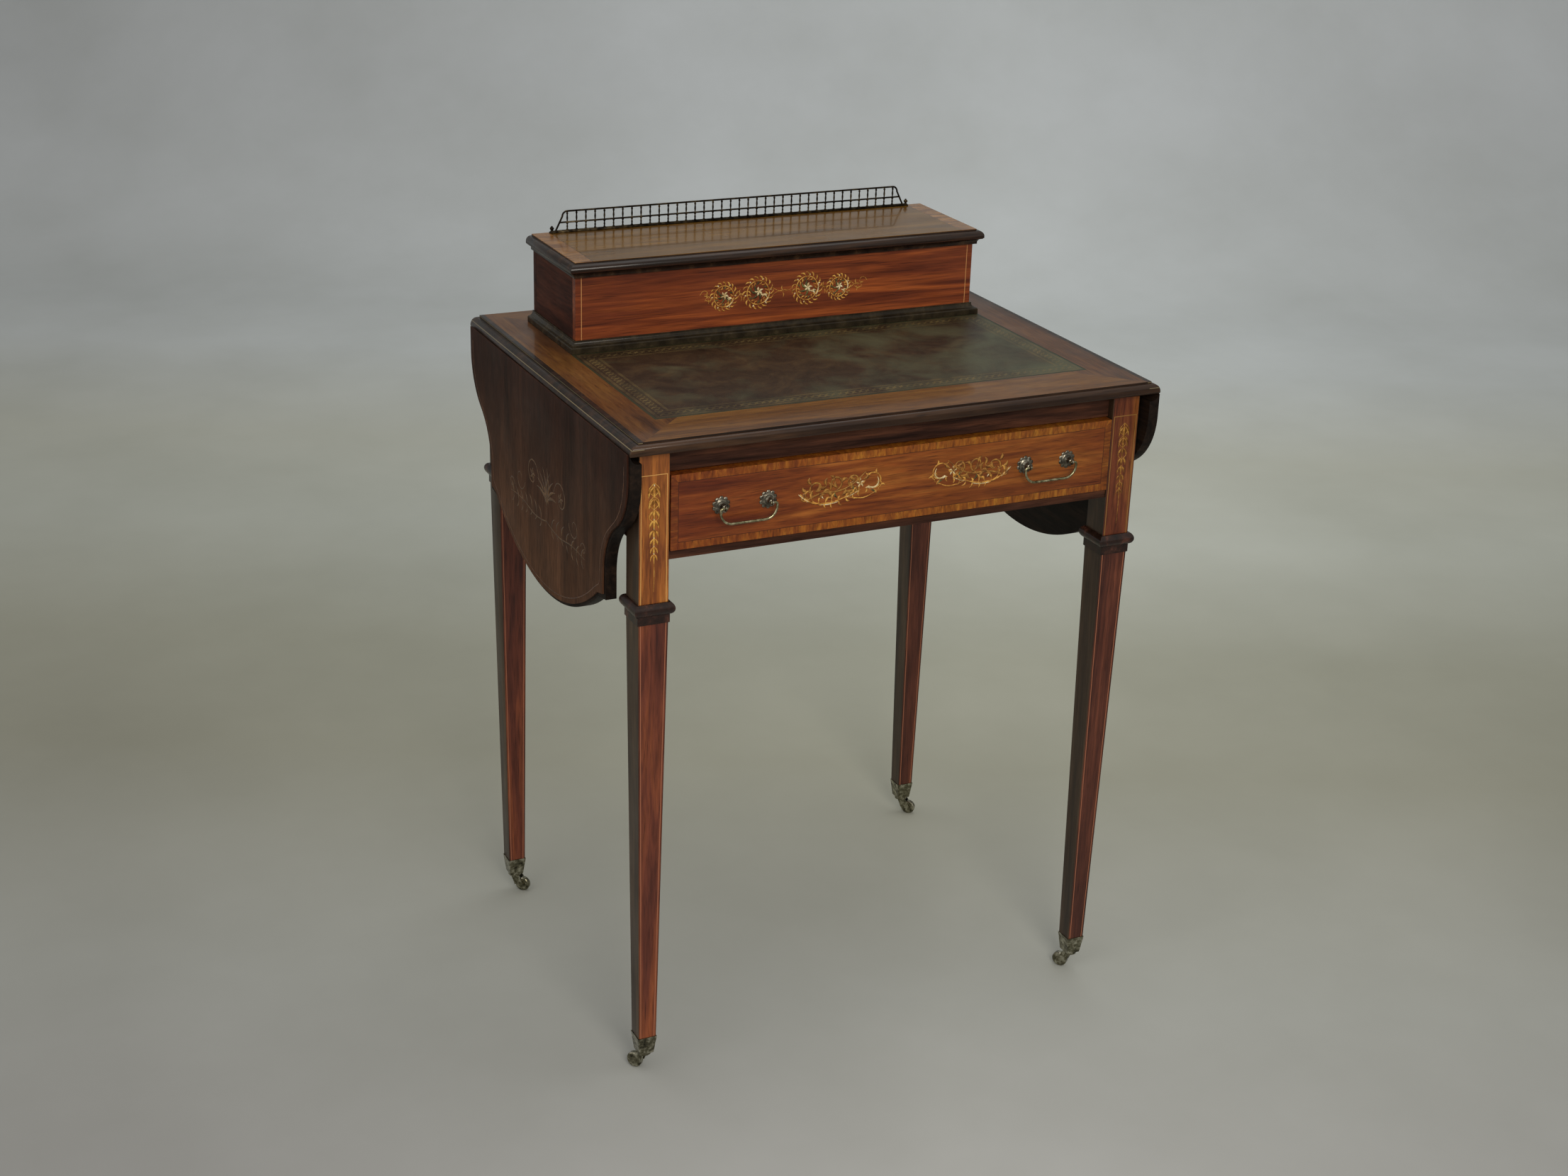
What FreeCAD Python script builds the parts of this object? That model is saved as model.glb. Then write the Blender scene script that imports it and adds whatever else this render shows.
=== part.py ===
import FreeCAD, Part
import math
import os
import re
import Sketcher

# Bonheur du jour: a small writing table with drop leaves, a drawer and a lidded
# stationery box. Millimetres; +X to the right, +Y to the back, +Z up, origin on
# the floor under the middle of the top.

SIZES = {
    "cut_past": 1,
    # writing top and rule joints
    "top_height": 740,
    "top_width": 594,
    "top_depth": 495,
    "top_thick": 14,
    "joint_radius": 9.5,
    "joint_quirk": 2,
    "joint_gap": 0.3,
    "edge_radius": 4.5,
    "edge_under": 3,
    "leather_border": 66,
    "leather_thick": 1,
    # drop leaves
    "leaf_reach": 236,
    "leaf_setback": 0.5,
    "shoulder_reach": 28,
    "waist_reach": 148,
    "ear_gap": 12.4,
    "ear_reach": 176.5,
    "cusp_inset": 21,
    "cusp_reach": 180,
    "leaf_edge": 5,
    "leaf_step": 2,
    # table hinges
    "hinge_spot": 150,
    "hinge_width": 26,
    "hinge_plate": 30,
    "hinge_thick": 1.6,
    "knuckle_radius": 2.3,
    "pin_radius": 1.1,
    "pin_gap": 0.05,
    "groove_gap": 0.4,
    # legs and collars
    "leg_size": 33,
    "leg_inset_x": 5.5,
    "leg_inset_y": 15.5,
    "collar_drop": 44.5,
    "band_height": 9.5,
    "band_reach": 1.2,
    "round_height": 13,
    "round_bulge": 3.6,
    "fillet_reach": 2,
    "foot_size": 20.5,
    # frieze
    "frieze_depth": 118,
    "rail_thick": 15,
    "rail_setback": 2,
    "top_rail_height": 27,
    "top_rail_setback": 9,
    "drawer_rail_thick": 9,
    "drawer_rail_width": 35,
    "runner_width": 18,
    "kicker_height": 14,
    "stop_width": 30,
    "stop_length": 12,
    "stop_height": 4.5,
    "stop_spot": 88,
    # fly brackets
    "fly_thick": 15,
    "fly_height": 60,
    "fly_pivot": 148,
    "fly_length": 150,
    "fly_tip": 16,
    "fly_swell": 45,
    "fly_drop": 1,
    "fly_gap": 0.4,
    "fly_pin_radius": 2.5,
    # drawer
    "drawer_gap": 1,
    "drawer_lift": 0.3,
    "drawer_face": 18,
    "drawer_proud": 1,
    "drawer_back_gap": 48,
    "drawer_side": 8,
    "drawer_floor": 5,
    "drawer_floor_lift": 5,
    "drawer_headroom": 4,
    # handles
    "handle_spot": 177,
    "handle_height": 43,
    "post_half": 26,
    "rosette_radius": 10,
    "rosette_thick": 1.4,
    "boss_radius": 5.4,
    "boss_thick": 1,
    "boss_slope": 0.6,
    "post_radius": 2.3,
    "post_reach": 11.4,
    "eye_radius": 3,
    "stem_radius": 2,
    "stem_past": 1,
    "nut_radius": 4.5,
    "nut_thick": 3,
    "bail_radius": 1.4,
    "bail_drop": 17,
    "bail_bend": 13,
    "bail_corner": 2.2,
    "bail_tip": 2.4,
    # stationery box
    "box_half": 246,
    "box_setback": 47.5,
    "box_depth": 134,
    "box_height": 83,
    "box_wall": 9,
    "box_floor": 6,
    "base_reach": 8,
    "base_height": 13,
    "base_plinth": 6,
    "base_cove": 5,
    "base_fillet": 1,
    # lid and its frame
    "lid_reach": 9,
    "lid_overhang": 11,
    "lid_frame_thick": 8,
    "lid_panel_thick": 10,
    "lid_radius": 6,
    "lid_quirk": 1.6,
    "lid_fillet": 1,
    "lid_cove": 5,
    "lid_frame_width": 30,
    "lid_hinge_spot": 150,
    "lid_hinge_width": 40,
    "lid_hinge_plate": 7,
    "lid_hinge_thick": 1.2,
    "lid_hinge_gap": 0.4,
    # gallery
    "gallery_half": 228,
    "gallery_rail_half": 214,
    "gallery_height": 25,
    "gallery_depth": 5,
    "gallery_inset": 2,
    "gallery_base": 2,
    "gallery_rail": 2,
    "gallery_mid": 10.5,
    "gallery_mid_thick": 1.4,
    "gallery_bar": 2.2,
    "gallery_bend": 7,
    "gallery_slope": 8,
    "spindle_width": 2.2,
    "spindle_count": 38,
    "knob_radius": 2.6,
    "knob_sink": 0.8,
    # castors
    "cup_top": 46,
    "cup_low": 24,
    "cup_top_size": 22,
    "cup_low_size": 16.5,
    "cup_wall": 1.6,
    "cup_floor": 2.4,
    "cup_gap": 0.1,
    "wheel_radius": 9,
    "wheel_width": 7,
    "wheel_chamfer": 1.2,
    "trail": 11,
    "front_trail_angle": 127,
    "back_trail_angle": 318,
    "axle_radius": 1.5,
    "axle_gap": 0.05,
    "horn_radius": 8,
    "horn_thick": 2.4,
    "swivel_gap": 0.4,
    "cheek_thick": 1.6,
    "cheek_gap": 0.4,
    "cheek_boss": 3.4,
    "cheek_toe": 2,
    "cheek_heel": 3,
    "cheek_nose": 7,
    "cheek_root": 0.5,
    "pivot_radius": 2.1,
    "pivot_root": 1,
    "pivot_head": 3.3,
    "pivot_head_thick": 1.2,
}

DOC = FreeCAD.newDocument("BonheurDuJour")
SHEET = DOC.addObject("Spreadsheet::Sheet", "Sizes")
for row, (alias, amount) in enumerate(SIZES.items(), start=1):
    SHEET.set(f"A{row}", alias)
    SHEET.set(f"B{row}", str(amount))
    SHEET.setAlias(f"B{row}", alias)
DOC.recompute()

CALCULATOR = DOC.addObject("App::FeaturePython", "Calculator")
CALCULATOR.addProperty("App::PropertyFloat", "Answer")

NODES = []

# ---- places worked out from the sizes

AXIS_X = "(top_width / 2)"
AXIS_Z = "(top_height - joint_quirk - joint_radius)"
UNDER = "(top_height - top_thick)"
TOP_Y = "(top_depth / 2)"
LEG_X = "(top_width / 2 - leg_inset_x - leg_size / 2)"
LEG_Y = "(top_depth / 2 - leg_inset_y - leg_size / 2)"
INNER_X = "(top_width / 2 - leg_inset_x - leg_size)"
INNER_Y = "(top_depth / 2 - leg_inset_y - leg_size)"
FACE_Y = "(top_depth / 2 - leg_inset_y)"
FRIEZE = "(top_height - top_thick - frieze_depth)"
COLLAR_LOW = f"({FRIEZE} - collar_drop - round_height - band_height)"
OPENING_LOW = f"({FRIEZE} + drawer_rail_thick)"
OPENING_TOP = f"({UNDER} - top_rail_height)"
LEAF_IN = f"({AXIS_X} - ({AXIS_Z} - {UNDER}))"
LEAF_OUT = f"({AXIS_X} + joint_radius + joint_quirk)"
LEAF_Y = f"({TOP_Y} - leaf_setback)"
EAR_HALF = f"({LEG_Y} - leg_size / 2 - fillet_reach - round_bulge - ear_gap)"
CUSP_HALF = f"({EAR_HALF} - cusp_inset)"
RAIL_X = f"({INNER_X} + rail_thick)"
FLY_X = f"({RAIL_X} + fly_thick / 2)"
FLY_Y = f"({INNER_Y} - fly_pivot)"
FLY_TOP = f"({UNDER} - fly_drop)"
DRAWER_Y = f"(-{FACE_Y} - drawer_proud)"
DRAWER_IN_Y = f"({DRAWER_Y} + drawer_face)"
DRAWER_HALF = f"({INNER_X} - drawer_gap)"
HANDLE_Z = f"({OPENING_LOW} + handle_height)"
BOX_BACK = f"({TOP_Y} - box_setback)"
BOX_FRONT = f"({BOX_BACK} - box_depth)"
LID_LOW = "(top_height + box_height)"
LID_TOP = f"({LID_LOW} + lid_frame_thick + lid_panel_thick)"
LID_FRONT = f"({BOX_FRONT} - lid_overhang)"
LID_HALF = "(box_half + lid_reach)"
LID_AXIS_Y = f"({BOX_BACK} + knuckle_radius + pin_gap)"
GALLERY_Y = f"({BOX_BACK} - gallery_inset - gallery_depth / 2)"
BAIL_SIDE = "(post_half + eye_radius + bail_corner)"
QUARTER = 90
TURN_X = FreeCAD.Rotation(FreeCAD.Vector(0, 1, 0), QUARTER)
TURN_Y = FreeCAD.Rotation(FreeCAD.Vector(1, 0, 0), -QUARTER)
TURN_FRONT = FreeCAD.Rotation(FreeCAD.Vector(1, 0, 0), QUARTER)
NO_TURN = FreeCAD.Rotation()


# ---- helpers

def formula(text):
    """Put the sheet's name before every size, but not before a function's name."""
    return re.sub(r"\b[a-z]\w*\b(?!\()", lambda word: "Sizes." + word.group(), str(text))


def bind(thing, path, text):
    thing.setExpression(path, formula(text))


def number(text):
    bind(CALCULATOR, "Answer", text)
    CALCULATOR.recompute()
    return CALCULATOR.Answer


def side_span(side, low, high):
    """The same stretch on the right (side 1) or mirrored to the left (side -1)."""
    if side > 0:
        return low, high
    return f"-({high})", f"-({low})"


def place(thing, x=0, y=0, z=0, turn=NO_TURN):
    thing.Placement = FreeCAD.Placement(FreeCAD.Vector(), turn)
    for axis, text in zip("xyz", (x, y, z)):
        bind(thing, f"Placement.Base.{axis}", text)


def trailed(thing, x, y, angle, reach=0, height=0, lean=0):
    """Turn a thing about the upright line at x, y, then set it reach along that turn."""
    pivot = f"placement(vector({x}; {y}; 0); rotation(vector(0; 0; 1); {angle}))"
    arm = f"placement(vector({reach}; 0; {height}); rotation(vector(1; 0; 0); {lean}))"
    bind(thing, "Placement", f"{pivot} * {arm}")


def block(name, x, y, z, keep=False):
    """A box between two places along each axis, written as a node if it is kept."""
    box = DOC.addObject("Part::Box", name)
    for size, (low, high) in zip(("Length", "Width", "Height"), (x, y, z)):
        bind(box, size, f"({high}) - ({low})")
    place(box, x[0], y[0], z[0])
    return node(name, box) if keep else box


def rod(name, radius, length, x, y, z, turn=NO_TURN):
    cylinder = DOC.addObject("Part::Cylinder", name)
    bind(cylinder, "Radius", radius)
    bind(cylinder, "Height", length)
    place(cylinder, x, y, z, turn)
    return cylinder


def elbow(name, bend, radius, x, y, z, start):
    """Quarter of a ring in an upright plane across Y, from the angle start."""
    ring = DOC.addObject("Part::Torus", name)
    bind(ring, "Radius1", bend)
    bind(ring, "Radius2", radius)
    ring.Angle3 = QUARTER
    place(ring, x, y, z, TURN_FRONT * FreeCAD.Rotation(FreeCAD.Vector(0, 0, 1), start))
    return ring


def ball(name, radius, x, y, z):
    sphere = DOC.addObject("Part::Sphere", name)
    bind(sphere, "Radius", radius)
    place(sphere, x, y, z)
    return sphere


def fuse(name, *things):
    joined = DOC.addObject("Part::MultiFuse", name)
    joined.Shapes = list(things)
    return joined


def cut(name, base, *tools):
    remainder = DOC.addObject("Part::Cut", name)
    remainder.Base = base
    remainder.Tool = tools[0] if len(tools) == 1 else fuse(name + "Tools", *tools)
    return remainder


def node(label, thing):
    thing.Label = label
    NODES.append(thing)
    return thing


def arc_between(start, end, radius, turn):
    """Arc from start to end; turn 1 keeps its centre on the left, -1 on the right."""
    chord = end - start
    across = FreeCAD.Vector(-chord.y, chord.x, 0).normalize()
    depth = math.sqrt(max(radius ** 2 - (chord.Length / 2) ** 2, 0))
    centre = (start + end) / 2 + across * (turn * depth)
    crown = centre - across * (turn * radius)
    return Part.ArcOfCircle(start, crown, end)


def draw(body, plane, points):
    """Sketch an outline. A point is (x, y), or (x, y, radius, turn) before an arc."""
    sketch = body.newObject("Sketcher::SketchObject", body.Name + "Outline")
    origin = next(item for item in body.Origin.OriginFeatures if item.Role == plane)
    sketch.AttachmentSupport = [(origin, "")]
    sketch.MapMode = "FlatFace"
    spots = [FreeCAD.Vector(number(point[0]), number(point[1]), 0) for point in points]
    ends = []
    for index, point in enumerate(points):
        start = spots[index]
        end = spots[(index + 1) % len(spots)]
        if len(point) == 2:
            sketch.addGeometry(Part.LineSegment(start, end), False)
            ends.append((1, 2))
            continue
        radius, turn = point[2:]
        sketch.addGeometry(arc_between(start, end, number(radius), turn), False)
        ends.append((1, 2) if turn > 0 else (2, 1))
        rule = sketch.addConstraint(Sketcher.Constraint("Radius", index, number(radius)))
        bind(sketch, f"Constraints[{rule}]", radius)
    for index, (first, last) in enumerate(ends):
        after = (index + 1) % len(ends)
        joint = Sketcher.Constraint("Coincident", index, last, after, ends[after][0])
        sketch.addConstraint(joint)
    for index, point in enumerate(points):
        for kind, text in zip(("DistanceX", "DistanceY"), point):
            spot = Sketcher.Constraint(kind, -1, 1, index, ends[index][0], number(text))
            rule = sketch.addConstraint(spot)
            bind(sketch, f"Constraints[{rule}]", text)
    return sketch


def prism(name, plane, points, low, high):
    """Pad an outline on a plane of the frame from low to high along its third axis."""
    body = DOC.addObject("PartDesign::Body", name)
    sketch = draw(body, plane, points)
    pad = body.newObject("PartDesign::Pad", name + "Pad")
    pad.Profile = sketch
    bind(pad, "Length", f"({high}) - ({low})")
    pad.Reversed = plane == "XZ_Plane"
    axis = {"XY_Plane": "z", "XZ_Plane": "y", "YZ_Plane": "x"}[plane]
    place(body, **{axis: low})
    return body


def turned(name, points, x=0, y=0, z=0, turn=NO_TURN):
    """Revolve an outline of (radius, height) points about its upright axis."""
    body = DOC.addObject("PartDesign::Body", name)
    sketch = draw(body, "XZ_Plane", points)
    revolution = body.newObject("PartDesign::Revolution", name + "Revolution")
    revolution.Profile = sketch
    revolution.ReferenceAxis = (sketch, ["V_Axis"])
    revolution.Angle = 360
    place(body, x, y, z, turn)
    return body


def square(size):
    half = f"({size}) / 2"
    return [(f"-{half}", f"-{half}"), (half, f"-{half}"), (half, half), (f"-{half}", half)]


def tapered(name, low_size, low, high_size, high, x=0, y=0):
    """A square post that changes from low_size to high_size between two heights."""
    body = DOC.addObject("PartDesign::Body", name)
    foot = draw(body, "XY_Plane", square(low_size))
    head = draw(body, "XY_Plane", square(high_size))
    bind(foot, "AttachmentOffset.Base.z", low)
    bind(head, "AttachmentOffset.Base.z", high)
    loft = body.newObject("PartDesign::AdditiveLoft", name + "Loft")
    loft.Profile = foot
    loft.Sections = [head]
    loft.Ruled = True
    place(body, x, y)
    return body


def mirrored(half):
    """Close a right-hand profile, listed upwards, with its mirror image."""
    left = []
    for index in range(len(half) - 1, -1, -1):
        arc = half[index - 1][2:] if index else ()
        left.append((f"-({half[index][0]})", half[index][1], *arc))
    return half + left


def flat_backed(half, back):
    """Close a front profile, listed upwards by its reach to the front, at the back."""
    front = []
    for index in range(len(half) - 1, -1, -1):
        arc = half[index - 1][2:] if index else ()
        front.append((f"-({half[index][0]})", half[index][1], *arc))
    return [(back, half[0][1]), (back, half[-1][1])] + front


def from_edge(edge, profile):
    """Profile points given by how far they stand out from an edge."""
    return [(f"{edge} + {point[0]}", *point[1:]) for point in profile]


def mirror_outline(points):
    """Mirror a closed outline to the left, still travelling the same way round."""
    mirrored_points = []
    for index in range(len(points) - 1, -1, -1):
        arc = points[index - 1][2:]
        mirrored_points.append((f"-({points[index][0]})", points[index][1], *arc))
    return mirrored_points


def crossed(name, across, along, half_length, front, back):
    """Mitre two profiles: one padded along Y between front and back, one along X."""
    sides = prism(name + "Across", "XZ_Plane", across, front, back)
    fronts = prism(name + "Along", "YZ_Plane", along, f"-({half_length})", half_length)
    corner = DOC.addObject("Part::Common", name)
    corner.Base = sides
    corner.Tool = fronts
    return corner


# ---- legs, collars and frieze

CORNERS = {
    "front_left": (-1, -1),
    "front_right": (1, -1),
    "back_left": (-1, 1),
    "back_right": (1, 1),
}
SIDES = {"left": -1, "right": 1}


def leg_place(corner):
    across, along = CORNERS[corner]
    return f"{across} * {LEG_X}", f"{along} * {LEG_Y}"


def leg(corner):
    spot = leg_place(corner)
    name = f"leg_{corner}"
    plug_top = "cup_top_size - 2 * cup_wall - 2 * cup_gap"
    plug_low = "cup_low_size - 2 * cup_wall - 2 * cup_gap"
    plug = tapered(name + "Plug", plug_low, "cup_low + cup_floor", plug_top, "cup_top", *spot)
    shaft = tapered(name + "Shaft", "foot_size", "cup_top", "leg_size", COLLAR_LOW, *spot)
    post = tapered(name + "Post", "leg_size", COLLAR_LOW, "leg_size", UNDER, *spot)
    node(name, fuse(name, plug, shaft, post))


def collar(corner):
    name = f"collar_{corner}"
    band = f"{COLLAR_LOW} + band_height"
    crest = f"{band} + round_height"
    bulge = "(round_height^2 / 4 + round_bulge^2) / (2 * round_bulge)"
    half = from_edge("leg_size / 2", [
        ("band_reach", COLLAR_LOW),
        ("band_reach", band),
        ("fillet_reach", band, bulge, 1),
        ("fillet_reach", crest),
    ])
    reach = "leg_size"
    ring = crossed(name + "Ring", mirrored(half), mirrored(half), reach, f"-{reach}", reach)
    low, high = f"{COLLAR_LOW} - cut_past", f"{crest} + cut_past"
    piece = cut(name, ring, tapered(name + "Hole", "leg_size", low, "leg_size", high))
    place(piece, *leg_place(corner))
    node(name, piece)


def frieze():
    inner = (f"-{INNER_X}", INNER_X)
    high = (FRIEZE, UNDER)
    low = (FRIEZE, OPENING_LOW)
    back_y = (f"{FACE_Y} - rail_setback - rail_thick", f"{FACE_Y} - rail_setback")
    drawer_y = (f"-{FACE_Y} + rail_setback", f"-{FACE_Y} + rail_setback + drawer_rail_width")
    top_y = (f"-{FACE_Y} + top_rail_setback", f"-{FACE_Y} + top_rail_setback + rail_thick")
    for name, side in SIDES.items():
        runner_x = side_span(side, f"{INNER_X} - runner_width", INNER_X)
        rail_x = side_span(side, INNER_X, RAIL_X)
        block(f"side_rail_{name}", rail_x, (f"-{INNER_Y}", INNER_Y), high, keep=True)
        block(f"drawer_runner_{name}", runner_x, (drawer_y[1], back_y[0]), low, keep=True)
        kicker_z = (OPENING_TOP, f"{OPENING_TOP} + kicker_height")
        block(f"kicker_{name}", runner_x, (top_y[1], back_y[0]), kicker_z, keep=True)
    block("back_rail", inner, back_y, high, keep=True)
    block("top_rail", inner, top_y, (OPENING_TOP, UNDER), keep=True)
    block("drawer_rail", inner, drawer_y, low, keep=True)
    stops = []
    for name, side in SIDES.items():
        stop_x = side_span(side, "stop_spot", "stop_spot + stop_width")
        stop_y = (f"{DRAWER_IN_Y} + drawer_lift", f"{DRAWER_IN_Y} + drawer_lift + stop_length")
        stop_z = (OPENING_LOW, f"{OPENING_LOW} + stop_height")
        stops.append(block("Stop" + name, stop_x, stop_y, stop_z))
    node("drawer_stops", fuse("drawer_stops", *stops))


# ---- writing top

def writing_top():
    half = [
        (f"{AXIS_X} + sqrt(joint_radius^2 - ({AXIS_Z} - {UNDER})^2)", UNDER, "joint_radius", 1),
        (AXIS_X, f"{AXIS_Z} + joint_radius"),
        (AXIS_X, "top_height"),
    ]
    nose = [
        (f"{TOP_Y} - edge_under", UNDER, "edge_under", 1),
        (TOP_Y, f"{UNDER} + edge_under"),
        (TOP_Y, "top_height - joint_quirk - edge_radius", "edge_radius", 1),
        (f"{TOP_Y} - edge_radius", "top_height - joint_quirk"),
        (f"{TOP_Y} - edge_radius", "top_height"),
    ]
    slab = crossed("TopSlab", mirrored(half), mirrored(nose), "top_width", f"-{TOP_Y}", TOP_Y)
    leather = (
        ("-(box_half + base_reach)", "box_half + base_reach"),
        (f"-{TOP_Y} + leather_border", f"{BOX_FRONT} - base_reach"),
        ("top_height - leather_thick", "top_height"),
    )
    rooms = [block("LeatherRecess", *leather)]
    for side in SIDES.values():
        for end in (-1, 1):
            rooms.append(hinge_recess(side, end))
            rooms.append(knuckle_groove(side, end))
    node("writing_top", cut("writing_top", slab, *rooms))
    block("leather_skin", *leather, keep=True)


def hinge_name(side, end):
    return ("Left" if side < 0 else "Right") + ("Front" if end < 0 else "Back")


def hinge_y(end, half):
    return f"{end} * hinge_spot - ({half})", f"{end} * hinge_spot + ({half})"


def hinge_recess(side, end):
    """Room in the underside for the fixed plate and for the strap of a raised leaf."""
    x = side_span(side, f"{AXIS_X} - hinge_plate", f"{AXIS_X} + joint_radius + cut_past")
    y = hinge_y(end, "hinge_width / 2 + groove_gap")
    z = (f"{UNDER} - cut_past", f"{UNDER} + hinge_thick + groove_gap")
    return block("HingeRoom" + hinge_name(side, end), x, y, z)


def knuckle_groove(side, end):
    low, high = hinge_y(end, "hinge_width / 2 + groove_gap")
    length = f"({high}) - ({low})"
    name = "Groove" + hinge_name(side, end)
    return rod(name, "knuckle_radius + groove_gap", length, f"{side} * {AXIS_X}", low, AXIS_Z, TURN_Y)


# ---- rule-joint hinges

def hinge_parts(side, end):
    """Fixed plate with two knuckles and the pin, and the strap with one between them."""
    tag = hinge_name(side, end)
    x = f"{side} * {AXIS_X}"
    third = "hinge_width / 3"
    low, high = hinge_y(end, "hinge_width / 2")
    middle_low, middle_high = f"{low} + {third}", f"{high} - {third}"
    clear = "knuckle_radius + groove_gap"
    notch_x = side_span(side, f"{AXIS_X} - ({clear})", f"{AXIS_X} + {clear}")

    plate_x = side_span(side, f"{AXIS_X} - hinge_plate", AXIS_X)
    plate = block("Plate" + tag, plate_x, (low, high), (UNDER, f"{UNDER} + hinge_thick"))
    knuckles = rod("Knuckles" + tag, "knuckle_radius", "hinge_width", x, low, AXIS_Z, TURN_Y)
    notch_y = (f"{middle_low} - pin_gap", f"{middle_high} + pin_gap")
    notch_z = (f"{UNDER} - cut_past", f"{AXIS_Z} + {clear}")
    notch = block("Notch" + tag, notch_x, notch_y, notch_z)
    pin = rod("Pin" + tag, "pin_radius", "hinge_width", x, low, AXIS_Z, TURN_Y)
    body = cut("PlateBody" + tag, fuse("PlateSum" + tag, plate, knuckles), notch)
    fixed = fuse("Fixed" + tag, body, pin)

    strap_x = side_span(side, LEAF_IN, f"{LEAF_IN} + hinge_thick")
    strap = block("Strap" + tag, strap_x, (low, high), (f"{AXIS_Z} - hinge_plate", AXIS_Z))
    knuckle = rod("Knuckle" + tag, "knuckle_radius", third, x, middle_low, AXIS_Z, TURN_Y)
    end_z = (f"{AXIS_Z} - ({clear})", f"{AXIS_Z} + cut_past")
    ends = [
        block("StrapLow" + tag, notch_x, (f"{low} - cut_past", f"{middle_low} + pin_gap"), end_z),
        block("StrapHigh" + tag, notch_x, (f"{middle_high} - pin_gap", f"{high} + cut_past"), end_z),
    ]
    bore = rod("Bore" + tag, "pin_radius + pin_gap", "hinge_width", x, low, AXIS_Z, TURN_Y)
    body = fuse("StrapSum" + tag, cut("StrapEnds" + tag, strap, *ends), knuckle)
    return fixed, cut("Moving" + tag, body, bore)


def table_hinges():
    fixed = []
    for name, side in SIDES.items():
        straps = []
        for end in (-1, 1):
            plate, strap = hinge_parts(side, end)
            fixed.append(plate)
            straps.append(strap)
        node(f"leaf_straps_{name}", fuse(f"leaf_straps_{name}", *straps))
    node("table_hinge_plates", fuse("table_hinge_plates", *fixed))


# ---- drop leaves

def leaf_outline(inset):
    """Hanging leaf's (y, z) outline from the joint down one side and up the other."""
    edge = f"({LEAF_Y} - {inset})"
    ear = f"({EAR_HALF} - {inset})"
    swing = f"(({edge} - {ear})^2 + (waist_reach - shoulder_reach)^2) / (4 * ({edge} - {ear}))"
    bow = f"({CUSP_HALF}^2 + (leaf_reach - cusp_reach)^2) / (2 * (leaf_reach - cusp_reach))"
    ear_z = f"{AXIS_Z} - ear_reach + {inset}"
    cusp_z = f"{AXIS_Z} - cusp_reach + {inset}"
    middle_z = f"{AXIS_Z} - (shoulder_reach + waist_reach) / 2"
    left = [
        (f"-{edge}", f"{AXIS_Z} - joint_gap"),
        (f"-{edge}", f"{AXIS_Z} - shoulder_reach", swing, 1),
        (f"-({edge} + {ear}) / 2", middle_z, swing, -1),
        (f"-{ear}", f"{AXIS_Z} - waist_reach"),
        (f"-{ear}", ear_z),
        (f"-{CUSP_HALF}", cusp_z, f"{bow} - {inset}", 1),
    ]
    right = [
        (CUSP_HALF, cusp_z),
        (ear, ear_z),
        (ear, f"{AXIS_Z} - waist_reach", swing, -1),
        (f"({edge} + {ear}) / 2", middle_z, swing, 1),
        (edge, f"{AXIS_Z} - shoulder_reach"),
        (edge, f"{AXIS_Z} - joint_gap"),
    ]
    return left + right


def leaf(name, side):
    tag = "Leaf" + name
    board_x = side_span(side, LEAF_IN, f"{LEAF_OUT} - leaf_step")
    face_x = side_span(side, f"{LEAF_OUT} - leaf_step", LEAF_OUT)
    board = prism(tag + "Board", "YZ_Plane", leaf_outline("0"), *board_x)
    face = prism(tag + "Face", "YZ_Plane", leaf_outline("leaf_edge"), *face_x)
    centre = f"{side} * {AXIS_X}"
    cove_radius = "joint_radius + joint_gap"
    rooms = [rod(tag + "Cove", cove_radius, "top_depth", centre, f"-{TOP_Y}", AXIS_Z, TURN_Y)]
    bed_x = side_span(side, f"{LEAF_IN} - cut_past", f"{LEAF_IN} + hinge_thick")
    for end in (-1, 1):
        bed_z = (f"{AXIS_Z} - hinge_plate", AXIS_Z)
        rooms.append(block(tag + "Bed", bed_x, hinge_y(end, "hinge_width / 2"), bed_z))
    node(f"leaf_{name}", cut(f"leaf_{name}", fuse(tag + "Sum", board, face), *rooms))


# ---- fly rails and brackets

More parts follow.
